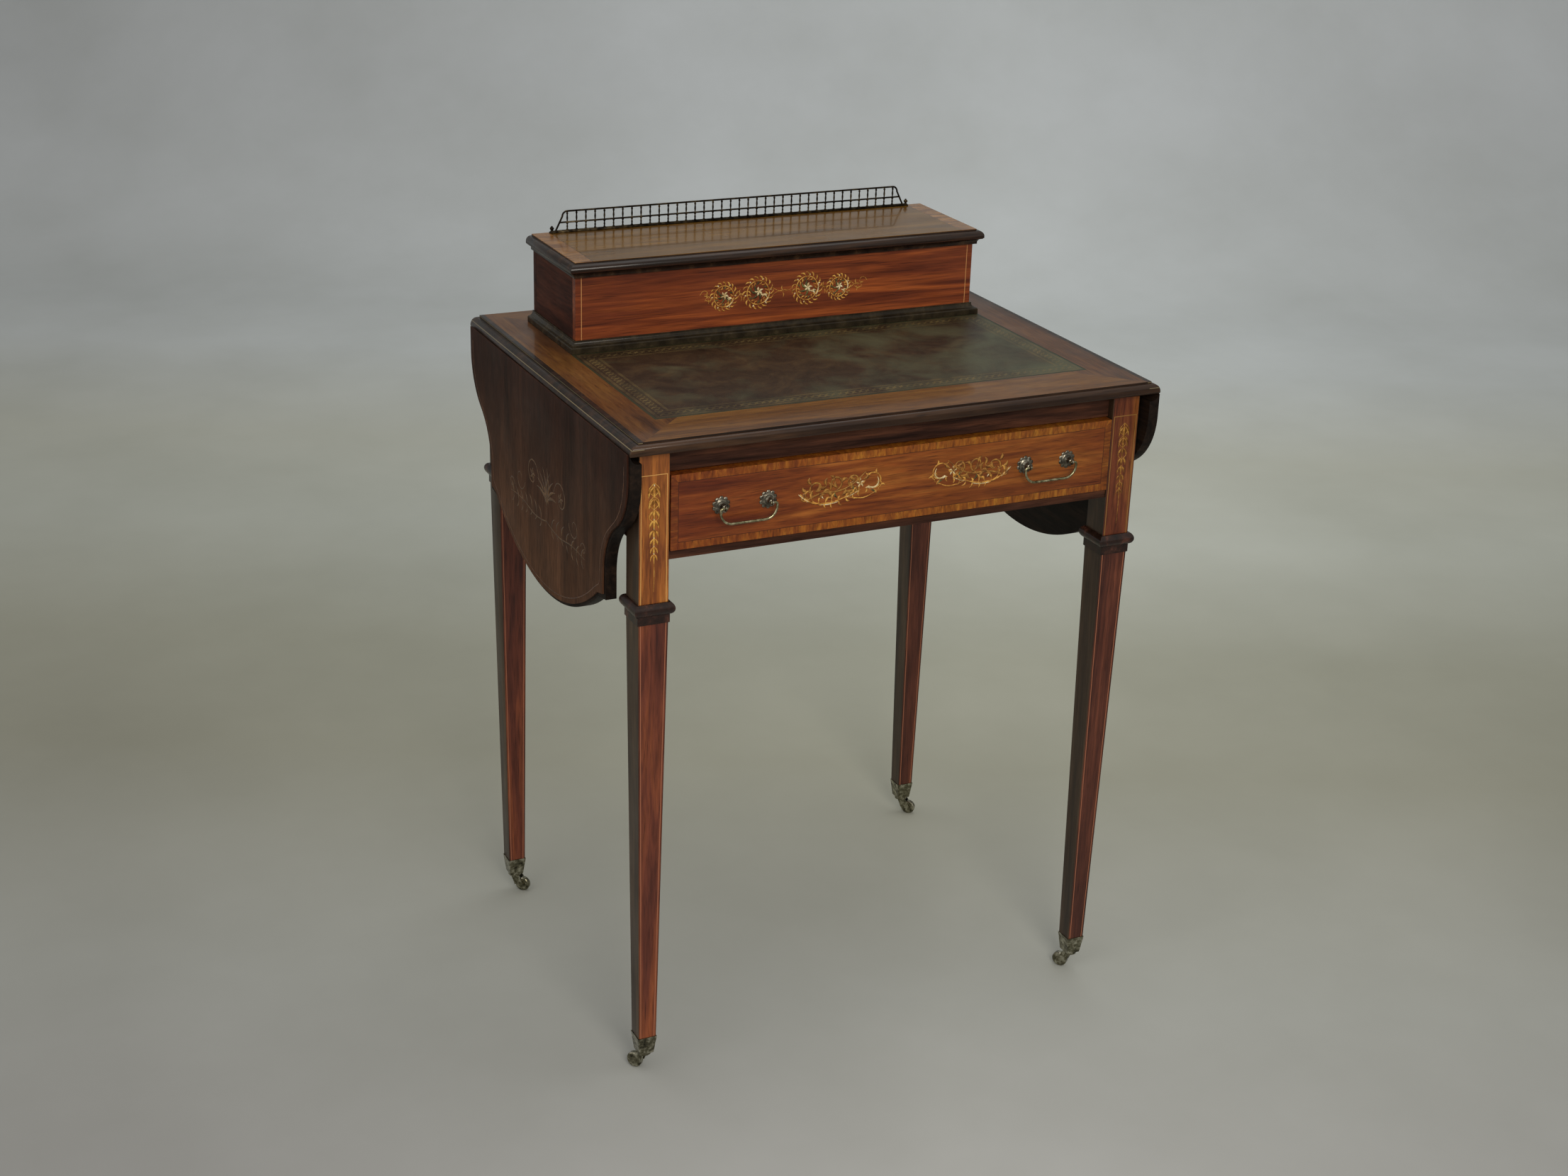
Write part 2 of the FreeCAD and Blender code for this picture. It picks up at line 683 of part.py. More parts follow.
def fly_support(name, side):
    """Fixed rail with the outer knuckles, the bracket with the middle one, and the pin."""
    tag = "Fly" + name
    x = side_span(side, RAIL_X, f"{RAIL_X} + fly_thick")
    centre = f"{side} * {FLY_X}"
    pivot = f"-{FLY_Y}"
    low = f"({UNDER} - fly_height)"
    tall = f"{FLY_TOP} - {low}"
    third = f"(({tall}) / 3)"
    middle = (f"{low} + {third}", f"{low} + 2 * {third}")
    radius = "fly_thick / 2"
    clear = f"{radius} + fly_gap"

    rail = block(tag + "Rail", x, (f"-{INNER_Y}", pivot), (low, FLY_TOP))
    barrel = rod(tag + "Barrel", radius, tall, centre, pivot, low)
    room_x = side_span(side, f"{RAIL_X} - cut_past", f"{RAIL_X} + fly_thick + cut_past")
    room_y = (f"{pivot} - ({clear})", f"{pivot} + {clear}")
    room_z = (f"{middle[0]} - fly_gap", f"{middle[1]} + fly_gap")
    room = block(tag + "MiddleRoom", room_x, room_y, room_z)
    hole = rod(tag + "PinHole", "fly_pin_radius + pin_gap", tall, centre, pivot, low)
    rail_name = f"fly_rail_{name}"
    node(rail_name, cut(rail_name, fuse(tag + "RailSum", rail, barrel), room, hole))

    arm = prism(tag + "Arm", "YZ_Plane", bracket_outline(pivot, low), *x)
    rooms = [
        rod(tag + "LowRoom", clear, f"{third} + cut_past", centre, pivot, f"{low} - cut_past"),
        rod(tag + "HighRoom", clear, f"{third} + cut_past", centre, pivot, middle[1]),
    ]
    knuckle = rod(tag + "Knuckle", radius, third, centre, pivot, middle[0])
    bore = rod(tag + "Bore", "fly_pin_radius + pin_gap", tall, centre, pivot, low)
    body = fuse(tag + "ArmSum", cut(tag + "ArmEnds", arm, *rooms), knuckle)
    node(f"fly_bracket_{name}", cut(f"fly_bracket_{name}", body, bore))
    return rod(tag + "Pin", "fly_pin_radius", tall, centre, pivot, low)


def bracket_outline(pivot, low):
    """Bracket swept up underneath from its swell to its tip by an ogee."""
    tip = f"{pivot} + fly_length"
    run = "(fly_length - fly_swell)"
    rise = "(fly_height - fly_drop - fly_tip)"
    sweep = f"({run}^2 + {rise}^2) / (4 * {rise})"
    return [
        (pivot, low),
        (f"{pivot} + fly_swell", low, sweep, 1),
        (f"{pivot} + fly_swell + {run} / 2", f"{low} + {rise} / 2", sweep, -1),
        (tip, f"{FLY_TOP} - fly_tip"),
        (tip, FLY_TOP),
        (pivot, FLY_TOP),
    ]


# ---- drawer

def drawer():
    front_z = (f"{OPENING_LOW} + drawer_gap", f"{OPENING_TOP} - drawer_gap")
    floor = f"{OPENING_LOW} + drawer_floor_lift"
    floor_z = (floor, f"{floor} + drawer_floor")
    side_z = (f"{OPENING_LOW} + drawer_lift", f"{OPENING_TOP} - drawer_headroom")
    back_y = f"{FACE_Y} - rail_setback - rail_thick - drawer_back_gap"
    inside = (f"-{DRAWER_HALF} + drawer_side", f"{DRAWER_HALF} - drawer_side")
    whole = (f"-{DRAWER_HALF}", DRAWER_HALF)
    face = block("DrawerFace", whole, (DRAWER_Y, DRAWER_IN_Y), front_z)
    stem_room = "stem_radius + pin_gap"
    holes = [
        rod("StemHole", stem_room, "drawer_face", x, DRAWER_Y, HANDLE_Z, TURN_Y)
        for x in post_places()
    ]
    node("drawer_front", cut("drawer_front", face, *holes))
    for name, side in SIDES.items():
        side_x = side_span(side, f"{DRAWER_HALF} - drawer_side", DRAWER_HALF)
        block(f"drawer_side_{name}", side_x, (DRAWER_IN_Y, back_y), side_z, keep=True)
    back_z = (floor_z[1], side_z[1])
    block("drawer_back", inside, (f"{back_y} - drawer_side", back_y), back_z, keep=True)
    block("drawer_bottom", inside, (DRAWER_IN_Y, back_y), floor_z, keep=True)


def post_places():
    places = []
    for side in SIDES.values():
        for end in (-1, 1):
            places.append(f"{side} * handle_spot + {end} * post_half")
    return places


def handles():
    """Posts with rosettes, eyes and stems, and the nuts behind the drawer's front."""
    stem_end = "-drawer_face - nut_thick - stem_past"
    shoulder = "rosette_thick + boss_thick"
    outline = [
        ("0", stem_end),
        ("stem_radius", stem_end),
        ("stem_radius", "0"),
        ("rosette_radius", "0"),
        ("rosette_radius", "rosette_thick"),
        ("boss_radius", shoulder),
        ("post_radius", f"{shoulder} + boss_slope"),
        ("post_radius", "post_reach"),
        ("0", "post_reach"),
    ]
    eye_y = f"{DRAWER_Y} - post_reach"
    posts = []
    nuts = []
    for x in post_places():
        stem = turned("Post", outline, x, DRAWER_Y, HANDLE_Z, TURN_FRONT)
        knob = ball("EyeBall", "eye_radius", x, eye_y, HANDLE_Z)
        low = f"{x} - eye_radius - cut_past"
        length = "2 * (eye_radius + cut_past)"
        eye = rod("Eye", "bail_radius + pin_gap", length, low, eye_y, HANDLE_Z, TURN_X)
        posts.append(cut("PostBody", fuse("PostSum", stem, knob), eye))
        nut = rod("Nut", "nut_radius", "nut_thick", x, DRAWER_IN_Y, HANDLE_Z, TURN_Y)
        thread = rod("NutHole", "stem_radius", "nut_thick", x, DRAWER_IN_Y, HANDLE_Z, TURN_Y)
        nuts.append(cut("NutBody", nut, thread))
    node("handle_posts", fuse("handle_posts", *posts))
    node("handle_nuts", fuse("handle_nuts", *nuts))


def bail(name, side):
    """Wire bent down from one post's eye, across and up to the other's."""
    tag = "Bail" + name
    wire = "bail_radius"
    tip = "(post_half - bail_tip)"
    corner = f"({BAIL_SIDE} - bail_corner)"
    bend = f"({BAIL_SIDE} - bail_bend)"
    drop = "(bail_drop - bail_bend)"
    parts = [rod(tag + "Bar", wire, f"2 * {bend}", f"-{bend}", 0, "-bail_drop", TURN_X)]
    for end, name_end in ((-1, "Low"), (1, "High")):
        stub = side_span(end, tip, corner)
        parts.append(rod(tag + "Stub" + name_end, wire, f"{corner} - {tip}", stub[0], 0, 0, TURN_X))
        corner_start = 0 if end > 0 else QUARTER
        parts.append(elbow(tag + "Corner", "bail_corner", wire, f"{end} * {corner}", 0,
                           "-bail_corner", corner_start))
        parts.append(rod(tag + "Arm" + name_end, wire, f"{drop} - bail_corner",
                         f"{end} * {BAIL_SIDE}", 0, f"-{drop}"))
        bend_start = -QUARTER if end > 0 else 2 * QUARTER
        parts.append(elbow(tag + "Bend", "bail_bend", wire, f"{end} * {bend}", 0,
                           f"-{drop}", bend_start))
    wire_shape = fuse(f"bail_{name}", *parts)
    place(wire_shape, f"{side} * handle_spot", f"{DRAWER_Y} - post_reach", HANDLE_Z)
    node(f"bail_{name}", wire_shape)


# ---- stationery box

def stationery_box():
    z = ("top_height", LID_LOW)
    across = ("-box_half", "box_half")
    inside = ("-(box_half - box_wall)", "box_half - box_wall")
    between = (f"{BOX_FRONT} + box_wall", f"{BOX_BACK} - box_wall")
    block("box_front", across, (BOX_FRONT, between[0]), z, keep=True)
    back = block("BoxBackBoard", across, (between[1], BOX_BACK), z)
    bed_y = (f"{BOX_BACK} - lid_hinge_plate", f"{BOX_BACK} + cut_past")
    bed_z = (f"{LID_LOW} - lid_hinge_thick", f"{LID_LOW} + cut_past")
    beds = [block("BackBed", lid_hinge_x(end), bed_y, bed_z) for end in (-1, 1)]
    node("box_back", cut("box_back", back, *beds))
    for name, side in SIDES.items():
        side_x = side_span(side, "box_half - box_wall", "box_half")
        block(f"box_side_{name}", side_x, between, z, keep=True)
    block("box_bottom", inside, between, ("top_height", "top_height + box_floor"), keep=True)


def base_moulding():
    plinth = "top_height + base_plinth"
    cove_foot = f"{plinth} + base_fillet"
    cove_top = "(base_reach - base_cove - base_fillet)"
    profile = [
        ("base_reach", "top_height"),
        ("base_reach", plinth),
        ("base_reach - base_fillet", cove_foot, "base_cove", -1),
        (cove_top, f"{cove_foot} + base_cove"),
        (cove_top, "top_height + base_height"),
    ]
    across = mirrored(from_edge("box_half", profile))
    along = flat_backed(from_edge(f"-{BOX_FRONT}", profile), BOX_BACK)
    front = f"{BOX_FRONT} - base_reach"
    length = "box_half + base_reach"
    solid = crossed("BaseForm", across, along, length, front, BOX_BACK)
    inside_z = ("top_height - cut_past", "top_height + base_height + cut_past")
    inside_y = (BOX_FRONT, f"{BOX_BACK} + cut_past")
    inside = block("BaseInside", ("-box_half", "box_half"), inside_y, inside_z)
    node("base_moulding", cut("base_moulding", solid, inside))


# ---- lid

def lid_hinge_x(end):
    centre = f"{end} * lid_hinge_spot"
    return f"{centre} - lid_hinge_width / 2", f"{centre} + lid_hinge_width / 2"


def lid():
    low = f"({LID_LOW} + lid_hinge_gap)"
    middle = f"({LID_LOW} + lid_frame_thick)"
    shoulder = f"{LID_TOP} - lid_quirk"
    panel = [
        ("0", middle),
        ("0", f"{shoulder} - lid_radius", "lid_radius", 1),
        ("-lid_radius", shoulder),
        ("-lid_radius - lid_fillet", shoulder),
        ("-lid_radius - lid_fillet", LID_TOP),
    ]
    frame = [
        ("-lid_fillet - lid_cove", low),
        ("-lid_fillet - lid_cove", f"{middle} - lid_fillet - lid_cove", "lid_cove", -1),
        ("-lid_fillet", f"{middle} - lid_fillet"),
        ("-lid_fillet", middle),
    ]
    solids = []
    for name, profile in (("LidPanel", panel), ("LidFrame", frame)):
        across = mirrored(from_edge(LID_HALF, profile))
        along = flat_backed(from_edge(f"-{LID_FRONT}", profile), BOX_BACK)
        solids.append(crossed(name, across, along, LID_HALF, LID_FRONT, BOX_BACK))
    node("lid_panel", solids[0])

    window_x = (f"-({LID_HALF} - lid_frame_width)", f"{LID_HALF} - lid_frame_width")
    window_y = (f"{LID_FRONT} + lid_frame_width", f"{BOX_BACK} - lid_frame_width")
    rooms = [block("LidWindow", window_x, window_y, (LID_LOW, middle))]
    bed_y = (f"{BOX_BACK} - lid_hinge_plate", f"{BOX_BACK} + cut_past")
    for end in (-1, 1):
        rooms.append(block("LidBed", lid_hinge_x(end), bed_y, (LID_LOW, f"{low} + lid_hinge_thick")))
    node("lid_frame", cut("lid_frame", solids[1], *rooms))


def lid_hinge(end):
    """Box flap with the outer knuckles and pin, and lid flap with the middle knuckle."""
    x_low, x_high = lid_hinge_x(end)
    third = "lid_hinge_width / 3"
    middle_low, middle_high = f"{x_low} + {third}", f"{x_high} - {third}"
    axis_z = f"({LID_LOW} + lid_hinge_gap / 2)"
    flap_y = (f"{BOX_BACK} - lid_hinge_plate", LID_AXIS_Y)
    room_y = (BOX_BACK, f"{LID_AXIS_Y} + knuckle_radius + cut_past")
    room_z = (f"{axis_z} - knuckle_radius - cut_past", f"{axis_z} + knuckle_radius + cut_past")

    box_flap = block("BoxFlap", (x_low, x_high), flap_y, (f"{LID_LOW} - lid_hinge_thick", LID_LOW))
    barrel = rod("LidBarrel", "knuckle_radius", "lid_hinge_width", x_low, LID_AXIS_Y, axis_z, TURN_X)
    gap_x = (f"{middle_low} - pin_gap", f"{middle_high} + pin_gap")
    middle_room = block("MiddleRoom", gap_x, room_y, room_z)
    pin = rod("LidPin", "pin_radius", "lid_hinge_width", x_low, LID_AXIS_Y, axis_z, TURN_X)
    body = cut("BoxSideBody", fuse("BoxSideSum", box_flap, barrel), middle_room)
    fixed = fuse("BoxSide", body, pin)

    flap_low = f"({LID_LOW} + lid_hinge_gap)"
    flap_z = (flap_low, f"{flap_low} + lid_hinge_thick")
    lid_flap = block("LidFlap", (x_low, x_high), flap_y, flap_z)
    knuckle = rod("LidMiddle", "knuckle_radius", third, middle_low, LID_AXIS_Y, axis_z, TURN_X)
    ends = [
        block("EndLow", (f"{x_low} - cut_past", f"{middle_low} + pin_gap"), room_y, room_z),
        block("EndHigh", (f"{middle_high} - pin_gap", f"{x_high} + cut_past"), room_y, room_z),
    ]
    bore_radius = "pin_radius + pin_gap"
    bore = rod("LidBore", bore_radius, "lid_hinge_width", x_low, LID_AXIS_Y, axis_z, TURN_X)
    body = fuse("LidSideSum", cut("LidFlapEnds", lid_flap, *ends), knuckle)
    return fixed, cut("LidSide", body, bore)


def lid_hinges():
    fixed, moving = zip(*(lid_hinge(end) for end in (-1, 1)))
    node("lid_hinge_box_flaps", fuse("lid_hinge_box_flaps", *fixed))
    node("lid_hinge_lid_flaps", fuse("lid_hinge_lid_flaps", *moving))


# ---- gallery

def gallery():
    """Pierced gallery: base strip, flat spindles through a middle bar, rail, raking ends."""
    y = (f"{GALLERY_Y} - gallery_bar / 2", f"{GALLERY_Y} + gallery_bar / 2")
    base_y = (f"{GALLERY_Y} - gallery_depth / 2", f"{GALLERY_Y} + gallery_depth / 2")
    base_top = f"({LID_TOP} + gallery_base)"
    top = f"({LID_TOP} + gallery_height)"
    mid = f"({LID_TOP} + gallery_mid)"
    straight = "(gallery_rail_half - gallery_bend)"
    base_x = ("-gallery_half", "gallery_half")
    mid_x = ("-gallery_rail_half", "gallery_rail_half")
    parts = [
        block("GalleryBase", base_x, base_y, (LID_TOP, base_top)),
        block("GalleryMid", mid_x, y, (mid, f"{mid} + gallery_mid_thick")),
        block("GalleryRail", (f"-{straight}", straight), y, (f"{top} - gallery_rail", top)),
    ]
    for name, side in SIDES.items():
        parts.append(gallery_end(name, side, base_top, top, y))
        knob_x = f"{side} * (gallery_half - knob_radius)"
        knob_z = f"{base_top} + knob_radius - knob_sink"
        parts.append(ball("Knob" + name, "knob_radius", knob_x, GALLERY_Y, knob_z))
    spindle_z = (f"{base_top} - gallery_base / 2", f"{top} - gallery_rail / 2")
    half = "spindle_width / 2"
    count = int(SHEET.spindle_count)
    for index in range(count):
        x = f"-{straight} + 2 * {straight} * {index} / {count - 1}"
        parts.append(block("Spindle", (f"{x} - {half}", f"{x} + {half}"), y, spindle_z))
    node("gallery", fuse("gallery", *parts))


def gallery_end(name, side, low, top, y):
    """Rail bent down into a raking foot at one end."""
    foot = "(gallery_rail_half + gallery_slope)"
    outline = [
        ("gallery_rail_half - gallery_bend", top),
        ("gallery_rail_half - gallery_bend", f"{top} - gallery_rail", "gallery_bend - gallery_rail", -1),
        ("gallery_rail_half - gallery_rail", f"{top} - gallery_bend"),
        (f"{foot} - gallery_rail", f"{low} - gallery_base / 2"),
        (foot, f"{low} - gallery_base / 2"),
        ("gallery_rail_half", f"{top} - gallery_bend", "gallery_bend", 1),
    ]
    if side < 0:
        outline = mirror_outline(outline)
    return prism("GalleryEnd" + name, "XZ_Plane", outline, *y)


# ---- castors

PLATE_TOP = "(cup_low - swivel_gap)"
PLATE_LOW = f"({PLATE_TOP} - horn_thick)"


def castor_cup(corner):
    """Square cup under the toe with the headed pivot that carries the horn."""
    x, y = leg_place(corner)
    tag = "Cup" + corner
    outer = tapered(tag, "cup_low_size", "cup_low", "cup_top_size", "cup_top", x, y)
    low_hole = "cup_low_size - 2 * cup_wall"
    top_hole = "cup_top_size - 2 * cup_wall"
    hollow = tapered(tag + "Hollow", low_hole, "cup_low + cup_floor", top_hole, "cup_top", x, y)
    neck_low = f"({PLATE_LOW} - swivel_gap)"
    neck = rod(tag + "Neck", "pivot_radius", f"cup_low + pivot_root - {neck_low}", x, y, neck_low)
    head_low = f"{neck_low} - pivot_head_thick"
    head = rod(tag + "Head", "pivot_head", "pivot_head_thick", x, y, head_low)
    return fuse(tag + "Sum", cut(tag + "Shell", outer, hollow), neck, head)


def castor(corner):
    """Horn that swivels on the pivot and trails the wheel behind it."""
    x, y = leg_place(corner)
    angle = "front_trail_angle" if CORNERS[corner][1] < 0 else "back_trail_angle"
    tag = "Castor" + corner
    inner = "(wheel_width / 2 + cheek_gap)"
    outer = f"({inner} + cheek_thick)"
    disc = rod(tag + "Disc", "horn_radius", "horn_thick", 0, 0, PLATE_LOW)
    cheeks = [cheek(tag, side_span(side, inner, outer)) for side in (-1, 1)]
    axle = rod(tag + "Axle", "axle_radius", f"2 * {outer}", "trail", f"-{outer}", "wheel_radius", TURN_Y)
    hole = rod(tag + "Hole", "pivot_radius + pin_gap", "horn_thick", 0, 0, PLATE_LOW)
    name = f"castor_horn_{corner}"
    horn = cut(name, fuse(tag + "Sum", disc, axle, *cheeks), hole)
    trailed(horn, x, y, angle)
    node(name, horn)

    half = "wheel_width / 2"
    wheel = turned(f"castor_wheel_{corner}", [
        ("axle_radius + axle_gap", f"-{half}"),
        ("wheel_radius - wheel_chamfer", f"-{half}"),
        ("wheel_radius", f"-{half} + wheel_chamfer"),
        ("wheel_radius", f"{half} - wheel_chamfer"),
        ("wheel_radius - wheel_chamfer", half),
        ("axle_radius + axle_gap", half),
    ])
    trailed(wheel, x, y, angle, "trail", "wheel_radius", -QUARTER)
    node(f"castor_wheel_{corner}", wheel)


def cheek(tag, span):
    """One side of the horn, from under its plate down to a boss round the axle."""
    root = f"{PLATE_LOW} + cheek_root"
    outline = [
        ("cheek_toe", "wheel_radius"),
        ("trail + cheek_boss", "wheel_radius"),
        ("cheek_nose", root),
        ("-cheek_heel", root),
    ]
    web = prism(tag + "Web", "XZ_Plane", outline, *span)
    boss = rod(tag + "Boss", "cheek_boss", "cheek_thick", "trail", span[0], "wheel_radius", TURN_Y)
    return fuse(tag + "Cheek", web, boss)


# ---- build and write

def write_parts():
    DOC.recompute()
    for thing in DOC.Objects:
        if "Invalid" in thing.State or "Error" in thing.State:
            raise RuntimeError(f"{thing.Name} ({thing.Label}): {thing.State}")
    os.makedirs("parts", exist_ok=True)
    for thing in NODES:
        shape = thing.Shape
        if shape.isNull() or not shape.isValid() or not shape.Solids:
            raise RuntimeError(f"{thing.Label} has no valid solid")
        shape.exportStep(f"parts/{thing.Label}.step")
    print(len(NODES), "nodes written")


for corner_name in CORNERS:
    leg(corner_name)
    collar(corner_name)
    castor(corner_name)
node("castor_cups", fuse("castor_cups", *(castor_cup(corner_name) for corner_name in CORNERS)))
frieze()
writing_top()
table_hinges()
fly_pins = []
for side_name, side_sign in SIDES.items():
    leaf(side_name, side_sign)
    fly_pins.append(fly_support(side_name, side_sign))
    bail(side_name, side_sign)
node("fly_pins", fuse("fly_pins", *fly_pins))
drawer()
handles()
stationery_box()
base_moulding()
lid()
lid_hinges()
gallery()
write_parts()
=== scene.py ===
import math
from functools import partial
import bpy
from mathutils import Matrix, Vector


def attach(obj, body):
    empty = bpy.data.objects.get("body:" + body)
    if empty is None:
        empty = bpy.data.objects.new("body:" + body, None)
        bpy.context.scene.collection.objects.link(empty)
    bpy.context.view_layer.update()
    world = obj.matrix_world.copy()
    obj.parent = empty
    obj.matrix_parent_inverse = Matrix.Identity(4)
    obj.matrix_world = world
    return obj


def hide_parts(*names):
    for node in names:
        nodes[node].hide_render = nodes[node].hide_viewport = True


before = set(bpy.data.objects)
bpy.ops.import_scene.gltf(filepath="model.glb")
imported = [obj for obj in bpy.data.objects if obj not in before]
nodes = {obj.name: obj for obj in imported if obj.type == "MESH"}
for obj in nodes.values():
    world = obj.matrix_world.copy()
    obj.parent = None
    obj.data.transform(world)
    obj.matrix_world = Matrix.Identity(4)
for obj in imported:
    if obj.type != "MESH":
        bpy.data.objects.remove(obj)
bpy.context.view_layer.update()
scene = bpy.context.scene
sides = ("left", "right")
corners = [f"{end}_{side}" for end in ("front", "back") for side in sides]
bpy.ops.object.select_all(action="DESELECT")
print("frame loaded")

# ways of working that every piece shares

laid = {"data_type": "RGBA"}  # settings of a Mix node that lays one colour into another where its mask is one
glazed = {"data_type": "RGBA", "blend_type": "MULTIPLY", 0: 1}  # and of one that darkens a colour by another


def linear(hexColour):
    # an sRGB hex value as the linear colour that shaders and lamps expect
    parts = [int(hexColour[at:at + 2], 16) / 255 for at in (1, 3, 5)]
    return [part / 12.92 if part <= 0.04045 else ((part + 0.055) / 1.055) ** 2.4 for part in parts] + [1]


def addNode(tree, kind, *parts):
    # a node with its settings and links: a socket is linked, and a node stands for its first output
    node = tree.nodes.new("ShaderNode" + kind)
    for key, value in [pair for part in parts for pair in part.items()]:
        if isinstance(value, bpy.types.Node):
            value = next(output for output in value.outputs if output.enabled)
        if isinstance(value, bpy.types.NodeSocket):
            tree.links.new(value, node.inputs[key])
        elif key == "stops":
            ramp = node.color_ramp
            for number, (position, shade) in enumerate(value):
                stop = ramp.elements[number] if number < 2 else ramp.elements.new(position)
                stop.position = position
                stop.color = linear(shade) if isinstance(shade, str) else [shade] * 3 + [1]
        elif isinstance(key, str) and hasattr(node, key):
            setattr(node, key, value)
        elif isinstance(value, str):
            node.inputs[key].default_value = linear(value)
        else:
            node.inputs[key].default_value = value
    return node


def newFinish(name):
    # an empty finish, what adds nodes to it, and the place on the piece that its patterns are drawn by
    finish = bpy.data.materials.new(name)
    finish.use_nodes = True
    finish.node_tree.nodes.clear()
    add = partial(addNode, finish.node_tree)
    return finish, add, add("TexCoord").outputs["Object"]


def closeFinish(add, *parts):
    add("OutputMaterial", {"Surface": add("BsdfPrincipled", *parts)})


def paint(finish, *names):
    for name in names:
        mesh = nodes[name].data
        mesh.materials.clear()
        mesh.materials.append(finish)


def span(low, high):
    # settings of a Math node that gives one between two places, in metres
    return {"operation": "COMPARE", 1: (low + high) / 2, 2: (high - low) / 2}


def edgeGaps(add, place, centre, half):
    # how far a point lies inside each pair of a rectangle's edges
    gaps = []
    for axis, reach in half.items():
        offset = add("Math", {"operation": "SUBTRACT", 0: place.outputs[axis], 1: centre.get(axis, 0)})
        away = add("Math", {"operation": "ABSOLUTE", 0: offset})
        gaps.append(add("Math", {"operation": "SUBTRACT", 0: reach, 1: away}))
    return gaps


# camera, at the height and distance of a standing viewer

viewpoint = {
    "place": (-1.09103, -2.20284, 1.45572), "yaw": 26.0115, "pitch": -22.2442, "roll": 1.8458, "lens": 52.63,
}

bpy.ops.object.camera_add(location=viewpoint["place"])
camera = bpy.context.object
camera.name = "camera"
turn = Matrix.Rotation(math.radians(-viewpoint["yaw"]), 4, "Z")
tip = Matrix.Rotation(math.radians(90 + viewpoint["pitch"]), 4, "X")
roll = Matrix.Rotation(math.radians(viewpoint["roll"]), 4, "Z")
camera.rotation_euler = (turn @ tip @ roll).to_euler()
camera.data.lens = viewpoint["lens"]
camera.data.sensor_width = 36
camera.data.dof.use_dof = False
scene.camera = camera
print("camera set")

# seamless paper, lamps and world

# paper tones: partly its colour, partly painted light; the side colour and reach: painted shade
studio = {
    "tones": [(0, "#b6b7b6"), (0.06, "#b5b8b3"), (0.1, "#b0b2a9"), (0.138, "#abac9e"), (0.19, "#b2b4a6"),
              (0.26, "#cbd0c7"), (0.32, "#d0d4ca"), (0.4, "#dce3e4"), (0.62, "#d2d8dc")],
    "runLow": -0.6, "runHigh": 7.0, "away": 2.6, "nearest": 1.7, "brightSide": 0.08, "sideShadeReach": 0.4,
    "fadeAndShade": "#d6d5d5", "cloudScale": 1.7, "cloud": [(0.3, "#f0f0ee"), (0.7, "#ffffff")],
    "floorBack": 2.8, "floorFront": 7.6, "wallTall": 3.2, "sweep": 1.3, "wide": 16, "steps": 16,
    "lamps": [
        ("keyLamp", (-0.5, -2.8, 2.0), 1.3, 36, "#fff8ee"),
        ("fillLamp", (-2.6, -1.2, 1.9), 2.2, 7, "#fffaf4"),
        ("topLamp", (0.3, 0.5, 3.2), 2.4, 17, "#ffffff"),
    ],
    "aim": (0, 0, 0.6), "worldShade": "#fbf8f3", "worldLight": 0.62,
}


def paperFinish(look):
    # matt studio paper, warmer and darker underfoot, paler and cooler up the wall; its tones along the sweep
    # also carry painted light, and painted shade darkens it toward its sides
    finish, add, where = newFinish("seamlessPaper")
    facing = add("Mapping", {"Rotation": (0, 0, math.radians(viewpoint["yaw"])), "Vector": where})
    place = add("SeparateXYZ", {0: facing})
    run = add("Math", {"operation": "ADD", 0: place.outputs["Y"], 1: place.outputs["Z"]})
    along = add("MapRange", {"From Min": look["runLow"], "From Max": look["runHigh"], 0: run})
    tone = add("ValToRGB", {"stops": look["tones"], 0: along})
    # painted shade: darker with distance from its brightest line, as under a cone of light from the front
    depth = add("Math", {"operation": "ADD", 0: place.outputs["Y"], 1: look["away"]})
    ahead = add("Math", {"operation": "MAXIMUM", 0: depth, 1: look["nearest"]})
    spread = add("Math", {"operation": "DIVIDE", 0: place.outputs["X"], 1: ahead})
    offset = add("Math", {"operation": "SUBTRACT", 0: spread, 1: look["brightSide"]})
    aside = add("Math", {"operation": "ABSOLUTE", 0: offset})
    fadeAndShade = add("MapRange", {"From Max": look["sideShadeReach"], 0: aside})
    edges = add("ValToRGB", {"stops": [(0, "#ffffff"), (1, look["fadeAndShade"])], 0: fadeAndShade})
    cloud = add("TexNoise", {"Scale": look["cloudScale"], "Detail": 5, "Roughness": 0.6, "Vector": where})
    blotch = add("ValToRGB", {"stops": look["cloud"], 0: cloud})
    shade = add("Mix", glazed, {6: tone, 7: blotch})
    shade = add("Mix", glazed, {6: shade, 7: edges})
    closeFinish(add, {"Roughness": 0.9, "Specular IOR Level": 0.2}, {"Base Color": shade})
    return finish


